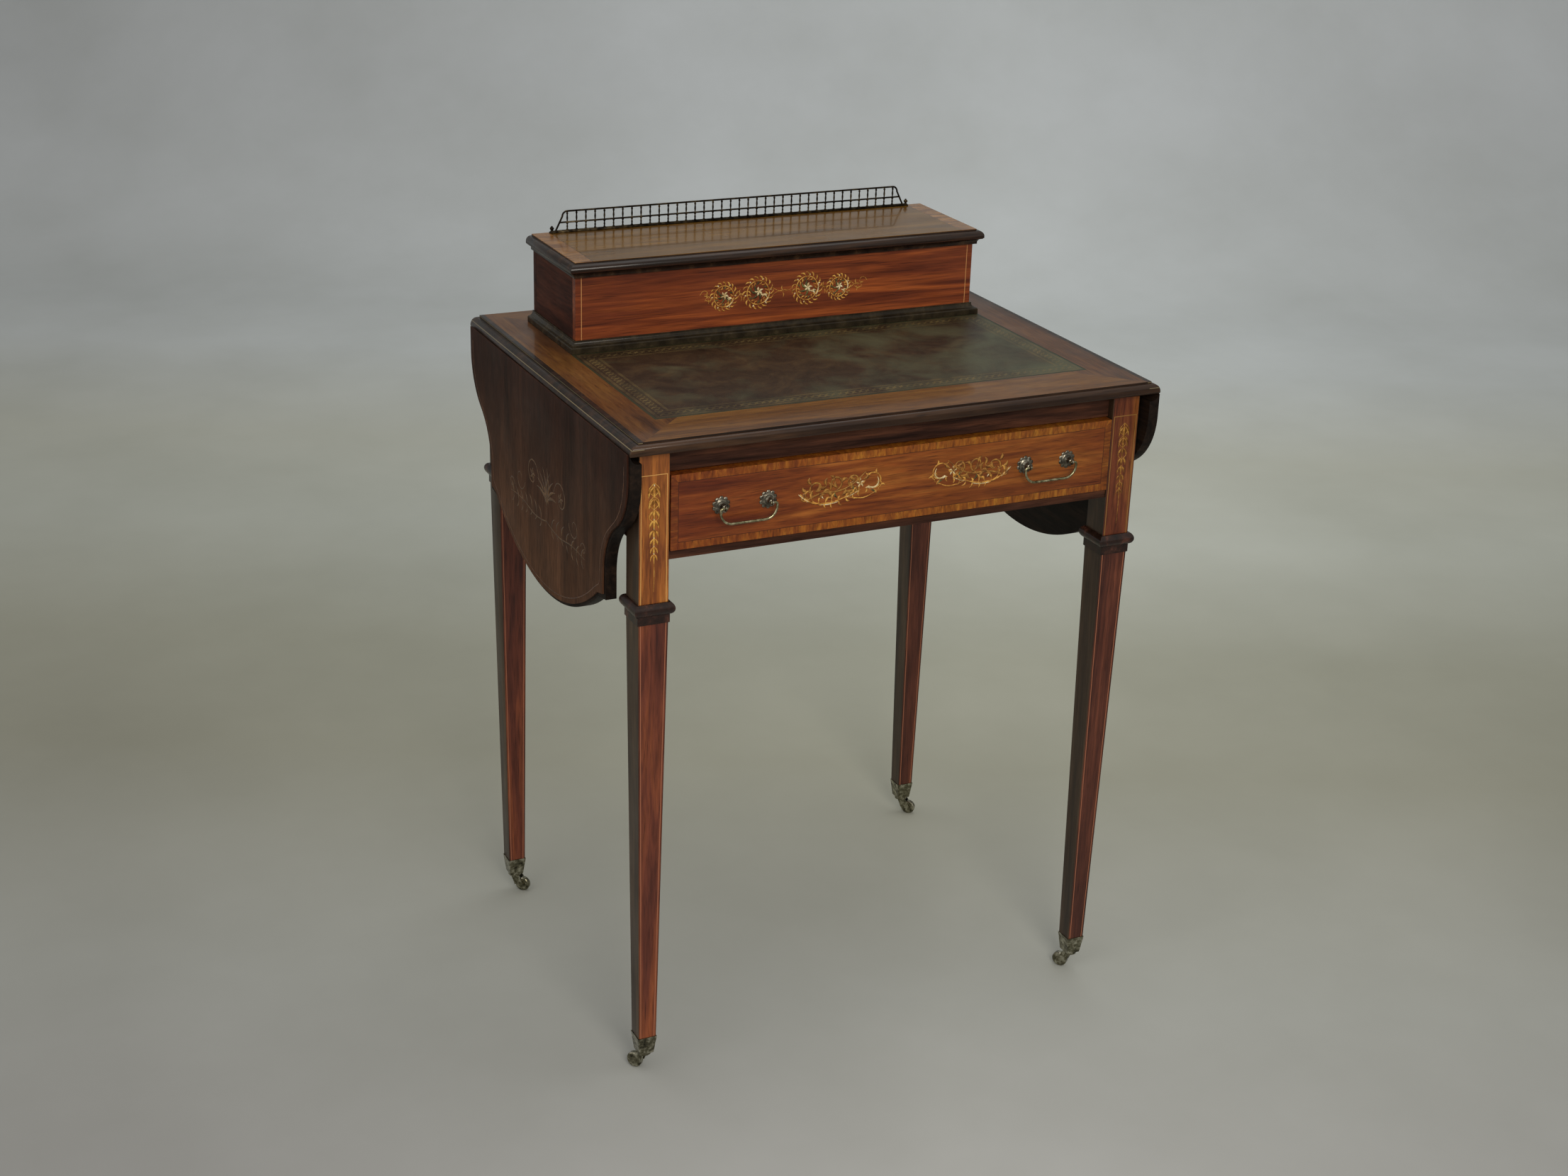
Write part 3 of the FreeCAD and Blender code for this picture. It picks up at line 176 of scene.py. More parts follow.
def paperSweep(look):
    # a strip pulled back along the floor and up the wall, turned to face the camera
    bpy.ops.mesh.primitive_plane_add(size=1, location=(0, 0, 0))
    paper = bpy.context.object
    paper.name = "paperSweep"
    bpy.ops.transform.resize(value=(look["wide"], look["floorBack"] + look["floorFront"], 1))
    bpy.ops.transform.translate(value=(0, (look["floorBack"] - look["floorFront"]) / 2, 0))
    bpy.ops.object.transform_apply()
    bpy.ops.object.mode_set(mode="EDIT")
    bpy.ops.mesh.select_all(action="DESELECT")
    bpy.ops.object.mode_set(mode="OBJECT")
    for vertex in paper.data.vertices:
        vertex.select = vertex.co.y > 0
    for line in paper.data.edges:
        line.select = all(paper.data.vertices[at].co.y > 0 for at in line.vertices)
    bpy.ops.object.mode_set(mode="EDIT")
    bpy.ops.mesh.select_mode(type="EDGE")
    length = look["sweep"] * math.radians(90) / look["steps"]
    for step in range(look["steps"]):
        angle = math.radians(90) * (step + 0.5) / look["steps"]
        move = (0, length * math.cos(angle), length * math.sin(angle))
        bpy.ops.mesh.extrude_region_move(TRANSFORM_OT_translate={"value": move})
    bpy.ops.mesh.extrude_region_move(TRANSFORM_OT_translate={"value": (0, 0, look["wallTall"])})
    bpy.ops.object.mode_set(mode="OBJECT")
    bpy.ops.object.shade_smooth()
    paper.data.materials.append(paperFinish(look))
    bpy.ops.transform.rotate(value=math.radians(viewpoint["yaw"]), orient_axis="Z", center_override=(0, 0, 0))
    bpy.ops.object.transform_apply()


def hangLamps(look):
    for name, spot, size, power, colour in look["lamps"]:
        bpy.ops.object.light_add(type="AREA", location=spot)
        lamp = bpy.context.object
        lamp.name = name
        lamp.data.shape = "DISK"
        lamp.data.size = size
        lamp.data.energy = power
        lamp.data.color = linear(colour)[:3]
        lamp.rotation_euler = (Vector(look["aim"]) - Vector(spot)).to_track_quat("-Z", "Y").to_euler()
    world = bpy.data.worlds.new("softRoom")
    scene.world = world
    world.use_nodes = True
    world.node_tree.nodes.clear()
    glow = {"Color": look["worldShade"], "Strength": look["worldLight"]}
    sky = addNode(world.node_tree, "Background", glow)
    addNode(world.node_tree, "OutputWorld", {"Surface": sky})


paperSweep(studio)
hangLamps(studio)
scene.view_settings.view_transform = "Standard"
print("paper and lamps set")

# woods: the axis the grain runs along, its dark, middle and light tones, the width of its figure in
# millimetres, and the share of its length that it keeps when drawn out

woodLook = {
    "border": ("Y", "#3f230f", "#603a18", "#775023", 26, 0.1),
    "borderAcross": ("X", "#482b11", "#6d4519", "#865c25", 26, 0.1),
    "lidTop": ("X", "#4d3312", "#714f1a", "#886328", 40, 0.06),
    "lidUnder": ("X", "#3b1c12", "#5b2f1b", "#7d4627", 24, 0.07),
    "lidBand": ("X", "#6a4526", "#8c6337", "#a97c48", 9, 0.2),
    "drawer": ("X", "#6c2f11", "#964f1e", "#b66f31", 16, 0.09),
    "drawerBand": ("Z", "#7f4117", "#a15a1c", "#c27f2c", 7, 0.25),
    "drawerBandEnd": ("X", "#733916", "#8f4e1b", "#ad6e29", 7, 0.25),
    "box": ("X", "#4f1e10", "#7c3a1b", "#ad5a28", 14, 0.05),
    "boxSide": ("Y", "#2b1712", "#43231a", "#5c3222", 22, 0.1),
    "boxBack": ("X", "#2b1712", "#43231a", "#5c3222", 22, 0.07),
    "block": ("Z", "#7a4220", "#a5622a", "#c9813a", 14, 0.1),
    # the shaded copies are painted shade for the legs on the right
    "blockShaded": ("Z", "#4b2113", "#6f3820", "#945a2b", 14, 0.1),
    "leg": ("Z", "#43201a", "#6e3827", "#96522f", 20, 0.07),
    "legShaded": ("Z", "#361a15", "#592f22", "#7c4530", 20, 0.07),
    "legSide": ("Z", "#2c2118", "#433325", "#5a4632", 20, 0.07),
    "leaf": ("Z", "#2b1810", "#382017", "#462a1d", 46, 0.13),
    "leafPale": ("Z", "#472e1f", "#5e3f2b", "#704d36", 46, 0.13),
    "leafEdge": ("Y", "#120d0a", "#1d1510", "#30231a", 12, 0.08),
    "ebonyRail": ("X", "#16100c", "#281a11", "#432d1c", 12, 0.08),
    "brownFrontEdge": ("X", "#281910", "#3b2718", "#543a25", 16, 0.08),
    "rail": ("X", "#24140f", "#442a1f", "#68402c", 20, 0.08),
    "sideRail": ("Y", "#43201a", "#5f2e24", "#78402e", 20, 0.08),
    "inside": ("X", "#6d4c2f", "#8b6540", "#a37c53", 24, 0.08),
    "insideDeep": ("Y", "#6d4c2f", "#8b6540", "#a37c53", 24, 0.08),
}
grainLook = {
    "offset": (0.31, 0.17, 0.53), "streakMm": 3.2, "thread": "#c9c4c0", "poreMm": 0.9, "fleck": "#9a918c",
}

# widths in millimetres of the marks that handling, sand and age leave in the other finishes; real pits,
# pores and scratches are finer than these, too fine to show
markMm = {
    "haze": 70, "rub": 14, "polish": 1.2, "tarnish": 6, "pit": 0.8, "scratch": 0.7, "scorch": 4.5,
    "pore": 0.8,
}


def grain(add, where, wood):
    # slow figure, narrow streaks and open pores, drawn out along one axis; real pores are a third as wide,
    # too fine to show
    along, dark, mid, light, figureMm, keeps = woodLook[wood]
    stretch = [keeps if axis == along else 1 for axis in "XYZ"]
    poreStretch = [keeps * 0.4 if axis == along else 1 for axis in "XYZ"]
    flow = add("Mapping", {"Scale": stretch, "Location": grainLook["offset"], "Vector": where})
    poreFlow = add("Mapping", {"Scale": poreStretch, "Vector": where})
    slow = {"Scale": 1000 / figureMm, "Detail": 4, "Roughness": 0.58, "Distortion": 0.9}
    narrow = {"Scale": 1000 / grainLook["streakMm"], "Detail": 3, "Roughness": 0.6, "Distortion": 0.2}
    figure = add("TexNoise", slow, {"Vector": flow})
    streak = add("TexNoise", narrow, {"Vector": flow})
    poreScale = 1000 / grainLook["poreMm"]
    pore = add("TexNoise", {"Scale": poreScale, "Detail": 1, "Roughness": 0.5, "Vector": poreFlow})
    tone = add("ValToRGB", {"stops": [(0.3, dark), (0.72, light), (0.5, mid)], 0: figure})
    thread = add("ValToRGB", {"stops": [(0.3, grainLook["thread"]), (0.66, "#ffffff")], 0: streak})
    fleck = add("ValToRGB", {"stops": [(0.28, grainLook["fleck"]), (0.4, "#ffffff")], 0: pore})
    streaked = add("Mix", glazed, {6: tone, 7: thread})
    flecked = add("Mix", {**glazed, 0: 0.8, 6: streaked, 7: fleck})
    return flecked, pore


glossLook = {
    "mirror": {"rough": 0.22, "bump": 0.08, "level": 0.2, "coat": 0.22, "coatRough": 0.03},
    "top": {"rough": 0.38, "bump": 0.18, "level": 0.18, "coat": 0.28, "coatRough": 0.06},
    "high": {"rough": 0.42, "bump": 0.25, "level": 0.25, "coat": 0.16, "coatRough": 0.12},
    "worn": {"rough": 0.56, "bump": 0.35, "level": 0.1, "coat": 0.03, "coatRough": 0.2},
    "bare": {"rough": 0.66, "bump": 0.5, "level": 0.2, "coat": 0.0, "coatRough": 0.3},
}


def polish(add, where, shade, pore, gloss):
    # shellac rubbed out over the pores, dulled by handling in broad patches
    look = glossLook[gloss]
    haze = add("TexNoise", {"Scale": 1000 / markMm["haze"], "Detail": 3, "Vector": where})
    worn = {"From Min": 0.3, "From Max": 0.7, "To Min": look["rough"] - 0.06, "To Max": look["rough"] + 0.1}
    rough = add("MapRange", worn, {0: haze})
    dent = add("Bump", {"Strength": look["bump"], "Distance": 0.0002, "Height": pore})
    shellac = {"IOR": 1.5, "Specular IOR Level": look["level"], "Coat Weight": look["coat"],
               "Coat Roughness": look["coatRough"]}
    closeFinish(add, shellac, {"Base Color": shade, "Roughness": rough, "Normal": dent})


def plainWood(name, wood, gloss):
    # solid wood with its grain along the piece, rubbed up or left bare and dull
    finish, add, where = newFinish(name)
    shade, pore = grain(add, where, wood)
    polish(add, where, shade, pore, gloss)
    return finish


# the pale arris colour is a painted highlight along the moulded side edge
topLook = {
    "half": {"X": 0.2914, "Y": 0.243}, "faceZ": 0.7394, "foreEdge": -0.0005, "sideEdge": -0.0008,
    "rubAndHighlight": "#75694f", "arrises": (0.7332, 0.7386), "arrisWide": 0.0008,
}


def topFinish(look):
    # rosewood border mitred at the corners; ebonised moulded edge, with highlight lines painted along
    # its side arrises
    finish, add, where = newFinish("frenchPolishedTop")
    place = add("SeparateXYZ", {0: where})
    long, pore = grain(add, where, "border")
    across = grain(add, where, "borderAcross")[0]
    gapX, gapY = edgeGaps(add, place, {}, look["half"])
    mitre = add("Math", {"operation": "LESS_THAN", 0: gapY, 1: gapX})
    border = add("Mix", laid, {0: mitre, 6: long, 7: across})
    inset = add("Math", {"operation": "MINIMUM", 0: gapX, 1: gapY})
    onTop = add("Math", {"operation": "GREATER_THAN", 0: place.outputs["Z"], 1: look["faceZ"]})
    inside = add("Math", {"operation": "GREATER_THAN", 0: inset, 1: 0})
    veneered = add("Math", {"operation": "MULTIPLY", 0: onTop, 1: inside})
    edge = grain(add, where, "ebonyRail")[0]
    brown = grain(add, where, "brownFrontEdge")[0]
    # the front edge is drawn browner than the near-black side edges
    fore = add("Math", {"operation": "LESS_THAN", 0: gapY, 1: look["foreEdge"]})
    edge = add("Mix", laid, {0: fore, 6: edge, 7: brown})
    beside = add("Math", {"operation": "LESS_THAN", 0: gapX, 1: look["sideEdge"]})
    # painted highlight lines along the side arrises
    for height in look["arrises"]:
        level = add("Math", span(height, height + look["arrisWide"]), {0: place.outputs["Z"]})
        worn = add("Math", {"operation": "MULTIPLY", 0: beside, 1: level})
        edge = add("Mix", laid, {0: worn, 6: edge, 7: look["rubAndHighlight"]})
    shade = add("Mix", laid, {0: veneered, 6: edge, 7: border})
    polish(add, where, shade, pore, "top")
    return finish


drawerLook = {
    "centre": {"Z": 0.658}, "half": {"X": 0.2575, "Z": 0.04}, "band": 0.0078, "line": 0.0006,
    "lineShade": "#4a2610",
    "fadeAndShade": [(0, "#d2bab8"), (1, "#ddd8ca"), (0.12, "#d9cac6"), (0.36, "#ece8d8"), (0.62, "#ecf2de"),
             (0.88, "#ecf6e8")],
}


def drawerFinish(look):
    # rosewood panel with crossbanding all round it and a dark line inside that, faded unevenly along it,
    # and darkened toward both ends by painted shade
    finish, add, where = newFinish("crossbandedDrawer")
    place = add("SeparateXYZ", {0: where})
    panel, pore = grain(add, where, "drawer")
    bandLong = grain(add, where, "drawerBand")[0]
    bandEnd = grain(add, where, "drawerBandEnd")[0]
    gapX, gapZ = edgeGaps(add, place, look["centre"], look["half"])
    mitre = add("Math", {"operation": "LESS_THAN", 0: gapX, 1: gapZ})
    band = add("Mix", laid, {0: mitre, 6: bandLong, 7: bandEnd})
    inset = add("Math", {"operation": "MINIMUM", 0: gapX, 1: gapZ})
    outer = add("Math", {"operation": "LESS_THAN", 0: inset, 1: look["band"]})
    shade = add("Mix", laid, {0: outer, 6: panel, 7: band})
    line = add("Math", span(look["band"], look["band"] + look["line"]), {0: inset})
    shade = add("Mix", laid, {0: line, 6: shade, 7: look["lineShade"]})
    # the tones along the drawer are partly fading and partly painted shade toward its ends
    reach = look["half"]["X"]
    along = add("MapRange", {"From Min": -reach, "From Max": reach, 0: place.outputs["X"]})
    age = add("ValToRGB", {"stops": look["fadeAndShade"], 0: along})
    shade = add("Mix", glazed, {6: shade, 7: age})
    polish(add, where, shade, pore, "high")
    return finish


boxLook = {"half": {"X": 0.246}, "lineIn": 0.0065, "lineWide": 0.0009, "line": "#b98350"}


def boxFinish(look):
    # rosewood veneer with an upright boxwood line near each end
    finish, add, where = newFinish("rosewoodBoxFront")
    place = add("SeparateXYZ", {0: where})
    shade, pore = grain(add, where, "box")
    gap = edgeGaps(add, place, {}, look["half"])[0]
    line = add("Math", span(look["lineIn"], look["lineIn"] + look["lineWide"]), {0: gap})
    shade = add("Mix", laid, {0: line, 6: shade, 7: look["line"]})
    polish(add, where, shade, pore, "high")
    return finish


lidLook = {
    "half": {"X": 0.248}, "band": 0.02, "line": 0.0007, "lineShade": "#3c2414",
    "edgeZ": 0.8403, "underZ": 0.8314,
}


def lidFinish(look):
    # quiet field with a paler crossbanded strip at each end, dark edges and a plain underside
    finish, add, where = newFinish("frenchPolishedLid")
    place = add("SeparateXYZ", {0: where})
    shade, pore = grain(add, where, "lidTop")
    gap = edgeGaps(add, place, {}, look["half"])[0]
    outer = add("Math", {"operation": "LESS_THAN", 0: gap, 1: look["band"]})
    shade = add("Mix", laid, {0: outer, 6: shade, 7: grain(add, where, "lidBand")[0]})
    line = add("Math", span(look["band"], look["band"] + look["line"]), {0: gap})
    shade = add("Mix", laid, {0: line, 6: shade, 7: look["lineShade"]})
    for wood, height in (("ebonyRail", look["edgeZ"]), ("lidUnder", look["underZ"])):
        below = add("Math", {"operation": "LESS_THAN", 0: place.outputs["Z"], 1: height})
        shade = add("Mix", laid, {0: below, 6: shade, 7: grain(add, where, wood)[0]})
    polish(add, where, shade, pore, "mirror")
    return finish


legLook = {
    "centre": {"X": 0.275, "Y": 0.2155}, "collar": 0.5635, "footHalf": 0.01025, "footZ": 0.046,
    "headHalf": 0.0165, "headZ": 0.541, "faceIn": 0.0006,
    "line": "#cf9c58", "shadedLine": "#8f6a35", "lowLine": "#a3674a", "lineIn": 0.0022, "lineWide": 0.0008,
    "topLine": 0.7,
}


def legFinish(look):
    # figured veneer with boxwood lines on the front of the block, plainer tapered shaft, dark sides; the legs
    # on the right take darker copies of their woods as painted shade
    finish, add, where = newFinish("polishedLeg")
    place = add("SeparateXYZ", {0: where})
    height = place.outputs["Z"]
    taper = {"From Min": look["footZ"], "From Max": look["headZ"], "To Min": look["footHalf"],
             "To Max": look["headHalf"]}
    half = add("MapRange", taper, {0: height})
    gaps = []
    for axis, centre in look["centre"].items():
        away = add("Math", {"operation": "ABSOLUTE", 0: place.outputs[axis]})
        offset = add("Math", {"operation": "SUBTRACT", 0: away, 1: centre})
        reach = add("Math", {"operation": "ABSOLUTE", 0: offset})
        gaps.append(add("Math", {"operation": "SUBTRACT", 0: half, 1: reach}))
    gapX, gapY = gaps
    lineIn, lineOut = look["lineIn"], look["lineIn"] + look["lineWide"]
    line = add("Math", span(lineIn, lineOut), {0: gapX})
    under = add("Math", {"operation": "LESS_THAN", 0: height, 1: look["topLine"]})
    level = add("Math", span(look["topLine"], look["topLine"] + look["lineWide"]), {0: height})
    inner = add("Math", {"operation": "GREATER_THAN", 0: gapX, 1: lineIn})
    upright = add("Math", {"operation": "MULTIPLY", 0: line, 1: under})
    crossing = add("Math", {"operation": "MULTIPLY", 0: level, 1: inner})
    drawn = add("Math", {"operation": "MAXIMUM", 0: upright, 1: crossing})
    # painted shade: the legs on the right take the shaded copies of their woods
    rightHand = add("Math", {"operation": "GREATER_THAN", 0: place.outputs["X"], 1: 0})
    block, pore = grain(add, where, "block")
    block = add("Mix", laid, {0: drawn, 6: block, 7: look["line"]})
    shaded = grain(add, where, "blockShaded")[0]
    shaded = add("Mix", laid, {0: drawn, 6: shaded, 7: look["shadedLine"]})
    block = add("Mix", laid, {0: rightHand, 6: block, 7: shaded})
    shaft = grain(add, where, "leg")[0]
    shaft = add("Mix", laid, {0: rightHand, 6: shaft, 7: grain(add, where, "legShaded")[0]})
    shaft = add("Mix", laid, {0: line, 6: shaft, 7: look["lowLine"]})
    high = add("Math", {"operation": "GREATER_THAN", 0: height, 1: look["collar"]})
    front = add("Mix", laid, {0: high, 6: shaft, 7: block})
    nearFace = add("Math", {"operation": "LESS_THAN", 0: gapY, 1: look["faceIn"]})
    offCorner = add("Math", {"operation": "GREATER_THAN", 0: gapX, 1: look["faceIn"]})
    facing = add("Math", {"operation": "MULTIPLY", 0: nearFace, 1: offCorner})
    ahead = add("Math", {"operation": "LESS_THAN", 0: place.outputs["Y"], 1: 0})
    low = add("Math", {"operation": "SUBTRACT", 0: 1, 1: high})
    dressed = add("Math", {"operation": "MAXIMUM", 0: ahead, 1: low})
    shown = add("Math", {"operation": "MULTIPLY", 0: facing, 1: dressed})
    shade = add("Mix", laid, {0: shown, 6: grain(add, where, "legSide")[0], 7: front})
    polish(add, where, shade, pore, "high")
    return finish


leafLook = {"faceX": 0.3066, "fadeFrom": 0.73, "fadeTo": 0.55, "patchMm": 90, "patchReach": 0.06}


def leafFinish(look):
    # veneered face, paler toward its lower edge, inside a blackened moulded rim
    finish, add, where = newFinish("waxedLeaf")
    place = add("SeparateXYZ", {0: where})
    field, pore = grain(add, where, "leaf")
    pale = grain(add, where, "leafPale")[0]
    edge = grain(add, where, "leafEdge")[0]
    patch = add("TexNoise", {"Scale": 1000 / look["patchMm"], "Detail": 3, "Vector": where})
    drift = {"operation": "MULTIPLY_ADD", 1: look["patchReach"]}
    uneven = add("Math", drift, {0: patch, 2: place.outputs["Z"]})
    fall = add("MapRange", {"From Min": look["fadeFrom"], "From Max": look["fadeTo"], 0: uneven})
    shade = add("Mix", laid, {0: fall, 6: field, 7: pale})
    away = add("Math", {"operation": "ABSOLUTE", 0: place.outputs["X"]})
    outer = add("Math", {"operation": "GREATER_THAN", 0: away, 1: look["faceX"]})
    shade = add("Mix", laid, {0: outer, 6: edge, 7: shade})
    polish(add, where, shade, pore, "worn")
    return finish


# dark, middle and light tones, sheen, and the height below which the wood was never blackened
ebonyLook = {
    "ebonisedLidFrame": ("#170f0b", "#261a13", "#43301f", 0.16, 0.8236),
    "ebonisedFoot": ("#1f1a12", "#2e271b", "#453b2a", 0.12, None),
    "rubbedCollar": ("#150d0a", "#2a1913", "#573428", 0.3, None),
}


def ebonyFinish(name):
    # pearwood stained black and polished, rubbed brown on its high spots
    dark, mid, light, level, plainBelow = ebonyLook[name]
    finish, add, where = newFinish(name)
    rub = add("TexNoise", {"Scale": 1000 / markMm["rub"], "Detail": 5, "Roughness": 0.6, "Vector": where})
    shade = add("ValToRGB", {"stops": [(0.35, dark), (0.75, light), (0.55, mid)], 0: rub})
    if plainBelow:
        place = add("SeparateXYZ", {0: where})
        below = add("Math", {"operation": "LESS_THAN", 0: place.outputs["Z"], 1: plainBelow})
        shade = add("Mix", laid, {0: below, 6: shade, 7: grain(add, where, "lidUnder")[0]})
    fine = add("TexNoise", {"Scale": 1000 / markMm["polish"], "Detail": 2, "Vector": where})
    dent = add("Bump", {"Strength": 0.12, "Distance": 0.0002, "Height": fine})
    rough = add("MapRange", {"To Min": 0.16, "To Max": 0.34, 0: rub})
    polished = {"IOR": 1.5, "Specular IOR Level": level, "Coat Weight": 0.1, "Coat Roughness": 0.06}
    closeFinish(add, polished, {"Base Color": shade, "Roughness": rough, "Normal": dent})
    return finish


leatherLook = {
    "half": {"X": 0.254, "Y": 0.11975}, "centre": {"Y": -0.06175},
    "skin": [(0.3, "#1e150b"), (0.72, "#443420"), (0.5, "#302316")], "wearMm": 34,
    "moss": "#4b4c37", "mossMm": 60, "rim": "#2b2f1d", "rimWide": 0.0025,
    "gilt": "#6a5a36", "lineWide": 0.0008,
    "lines": (0.0045, 0.0062, 0.0225, 0.0242), "midBand": 0.0143, "wave": 0.0042, "pitch": 0.016,
    "waveWide": 0.0016, "eye": 0.0022, "pebbleMm": 1.3,
}


def tooling(add, place, inset, gaps, look):
    # lines round the border, and between them two waves that cross, with an eye in each loop
    nearX = add("Math", {"operation": "LESS_THAN", 0: gaps[0], 1: gaps[1]})
    edgeways = {0: nearX, 2: place.outputs["X"], 3: place.outputs["Y"]}
    along = add("Mix", {"data_type": "FLOAT"}, edgeways)
    phase = add("Math", {"operation": "MULTIPLY", 0: along, 1: 2 * math.pi / look["pitch"]})
    swing = add("Math", {"operation": "SINE", 0: phase})
    strokes = []
    for turned in (-1, 1):
        wave = {"operation": "MULTIPLY_ADD", 1: turned * look["wave"], 2: look["midBand"]}
        path = add("Math", wave, {0: swing})
        away = add("Math", {"operation": "SUBTRACT", 0: inset, 1: path})
        strokes.append(add("Math", {"operation": "COMPARE", 0: away, 1: 0, 2: look["waveWide"] / 2}))
    for low in look["lines"]:
        strokes.append(add("Math", span(low, low + look["lineWide"]), {0: inset}))
    across = add("Math", {"operation": "SUBTRACT", 0: inset, 1: look["midBand"]})
    beside = add("Math", {"operation": "PINGPONG", 0: along, 1: look["pitch"] / 4})
    spot = add("CombineXYZ", {0: across, 1: beside})
    reach = add("VectorMath", {"operation": "LENGTH", 0: spot}).outputs["Value"]
    strokes.append(add("Math", {"operation": "LESS_THAN", 0: reach, 1: look["eye"]}))
    drawn = strokes[0]
    for stroke in strokes[1:]:
        drawn = add("Math", {"operation": "MAXIMUM", 0: drawn, 1: stroke})
    return drawn


def leatherFinish(look):
    # hide waxed dark, greener toward the right and round its worn rim, with a tooled border rubbed in places
    finish, add, where = newFinish("tooledHide")
    place = add("SeparateXYZ", {0: where})
    worn = {"Scale": 1000 / look["wearMm"], "Detail": 6, "Roughness": 0.66, "Distortion": 0.8}
    wear = add("TexNoise", worn, {"Vector": where})
    shade = add("ValToRGB", {"stops": look["skin"], 0: wear})
    soft = {"Scale": 1000 / look["mossMm"], "Detail": 4, "Roughness": 0.55, "Distortion": 0.5}
    mossy = add("TexNoise", soft, {"Vector": where})
    rightward = add("Math", {"operation": "MULTIPLY_ADD", 0: place.outputs["X"], 1: 0.5, 2: mossy})
    greened = add("MapRange", {"From Min": 0.44, "From Max": 0.78, "To Max": 0.95, 0: rightward})
    shade = add("Mix", laid, {0: greened, 6: shade, 7: look["moss"]})
    gaps = edgeGaps(add, place, look["centre"], look["half"])
    inset = add("Math", {"operation": "MINIMUM", 0: gaps[0], 1: gaps[1]})
    rim = add("Math", {"operation": "LESS_THAN", 0: inset, 1: look["rimWide"]})
    shade = add("Mix", laid, {0: rim, 6: shade, 7: look["rim"]})
    drawn = tooling(add, place, inset, gaps, look)
    rubAndHighlight = add("ValToRGB", {"stops": [(0.4, 0.25), (0.62, 0.8)], 0: wear})
    kept = add("Math", {"operation": "MULTIPLY", 0: drawn, 1: rubAndHighlight})
    shade = add("Mix", laid, {0: kept, 6: shade, 7: look["gilt"]})
    pebble = add("TexVoronoi", {"Scale": 1000 / look["pebbleMm"], "Vector": where})
    pressed = add("Math", {"operation": "SUBTRACT", 0: pebble.outputs["Distance"], 1: drawn})
    dent = add("Bump", {"Strength": 0.3, "Distance": 0.0002, "Height": pressed})
    waxed = {"Roughness": 0.46, "IOR": 1.48, "Specular IOR Level": 0.22, "Coat Weight": 0.04,
             "Coat Roughness": 0.25}
    closeFinish(add, waxed, {"Base Color": shade, "Normal": dent})
    return finish


# dark, middle and light tones, and roughness
brassLook = {
    "lacqueredBrass": ("#100d0a", "#262019", "#544833", 0.36),
    "wornCastorBrass": ("#2e2c26", "#77735f", "#d0ccba", 0.26),
    "antiquedRosetteBrass": ("#2c2925", "#6b665a", "#b3ad9c", 0.28),
    "rubbedBailBrass": ("#4d4834", "#8f8a6a", "#cfc9a6", 0.24),
    "rubbedBrass": ("#5c4a2a", "#8c7442", "#b89c62", 0.3),
}


def brassFinish(name):
    # cast brass under old lacquer, brown in its hollows
    dark, mid, light, rough = brassLook[name]
    finish, add, where = newFinish(name)
    brown = {"Scale": 1000 / markMm["tarnish"], "Detail": 5, "Roughness": 0.65}
    tarnish = add("TexNoise", brown, {"Vector": where})
    shade = add("ValToRGB", {"stops": [(0.32, dark), (0.7, light), (0.5, mid)], 0: tarnish})
    pit = add("TexNoise", {"Scale": 1000 / markMm["pit"], "Detail": 2, "Vector": where})
    dent = add("Bump", {"Strength": 0.15, "Distance": 0.0001, "Height": pit})
    matt = add("MapRange", {"To Min": rough + 0.12, "To Max": rough - 0.1, 0: tarnish})
    closeFinish(add, {"Metallic": 1}, {"Base Color": shade, "Roughness": matt, "Normal": dent})
    return finish


def steelFinish():
    # drawn steel, dull grey with lengthwise scratches, drawn coarser than real ones so that they show
    finish, add, where = newFinish("drawnSteel")
    flow = add("Mapping", {"Scale": (1, 1, 0.05), "Vector": where})
    scratch = add("TexNoise", {"Scale": 1000 / markMm["scratch"], "Detail": 2, "Vector": flow})
    shade = add("ValToRGB", {"stops": [(0.3, "#5c5a57"), (0.7, "#8c8a86")], 0: scratch})
    closeFinish(add, {"Metallic": 1, "Roughness": 0.38}, {"Base Color": shade})
    return finish


darkBrass = brassFinish("lacqueredBrass")
antiqueBrass = brassFinish("antiquedRosetteBrass")
screwSteel = steelFinish()
paint(topFinish(topLook), "writing_top")
paint(leatherFinish(leatherLook), "leather_skin")
paint(legFinish(legLook), *[f"leg_{corner}" for corner in corners])
paint(leafFinish(leafLook), "leaf_left", "leaf_right")
paint(drawerFinish(drawerLook), "drawer_front")
paint(boxFinish(boxLook), "box_front")
paint(lidFinish(lidLook), "lid_panel")
paint(ebonyFinish("ebonisedLidFrame"), "lid_frame")
paint(ebonyFinish("ebonisedFoot"), "base_moulding")
paint(ebonyFinish("rubbedCollar"), *[f"collar_{corner}" for corner in corners])
paint(plainWood("darkenedRail", "rail", "worn"), "top_rail", "drawer_rail", "back_rail")
paint(plainWood("polishedSideRail", "sideRail", "worn"),
      *[f"{part}_{side}" for part in ("side_rail", "fly_rail", "fly_bracket") for side in sides])
paint(plainWood("rosewoodBoxSide", "boxSide", "worn"), "box_side_left", "box_side_right")
paint(plainWood("rosewoodBoxBack", "boxBack", "worn"), "box_back")
paint(plainWood("bareLining", "inside", "bare"), "drawer_back", "drawer_stops", "box_bottom")
paint(plainWood("bareLiningDeep", "insideDeep", "bare"), "drawer_bottom",
      *[f"{part}_{side}" for part in ("drawer_side", "drawer_runner", "kicker") for side in sides])
paint(brassFinish("rubbedBrass"), "table_hinge_plates", "leaf_straps_left", "leaf_straps_right",
      "lid_hinge_box_flaps", "lid_hinge_lid_flaps", "handle_nuts")
paint(brassFinish("rubbedBailBrass"), "bail_left", "bail_right")
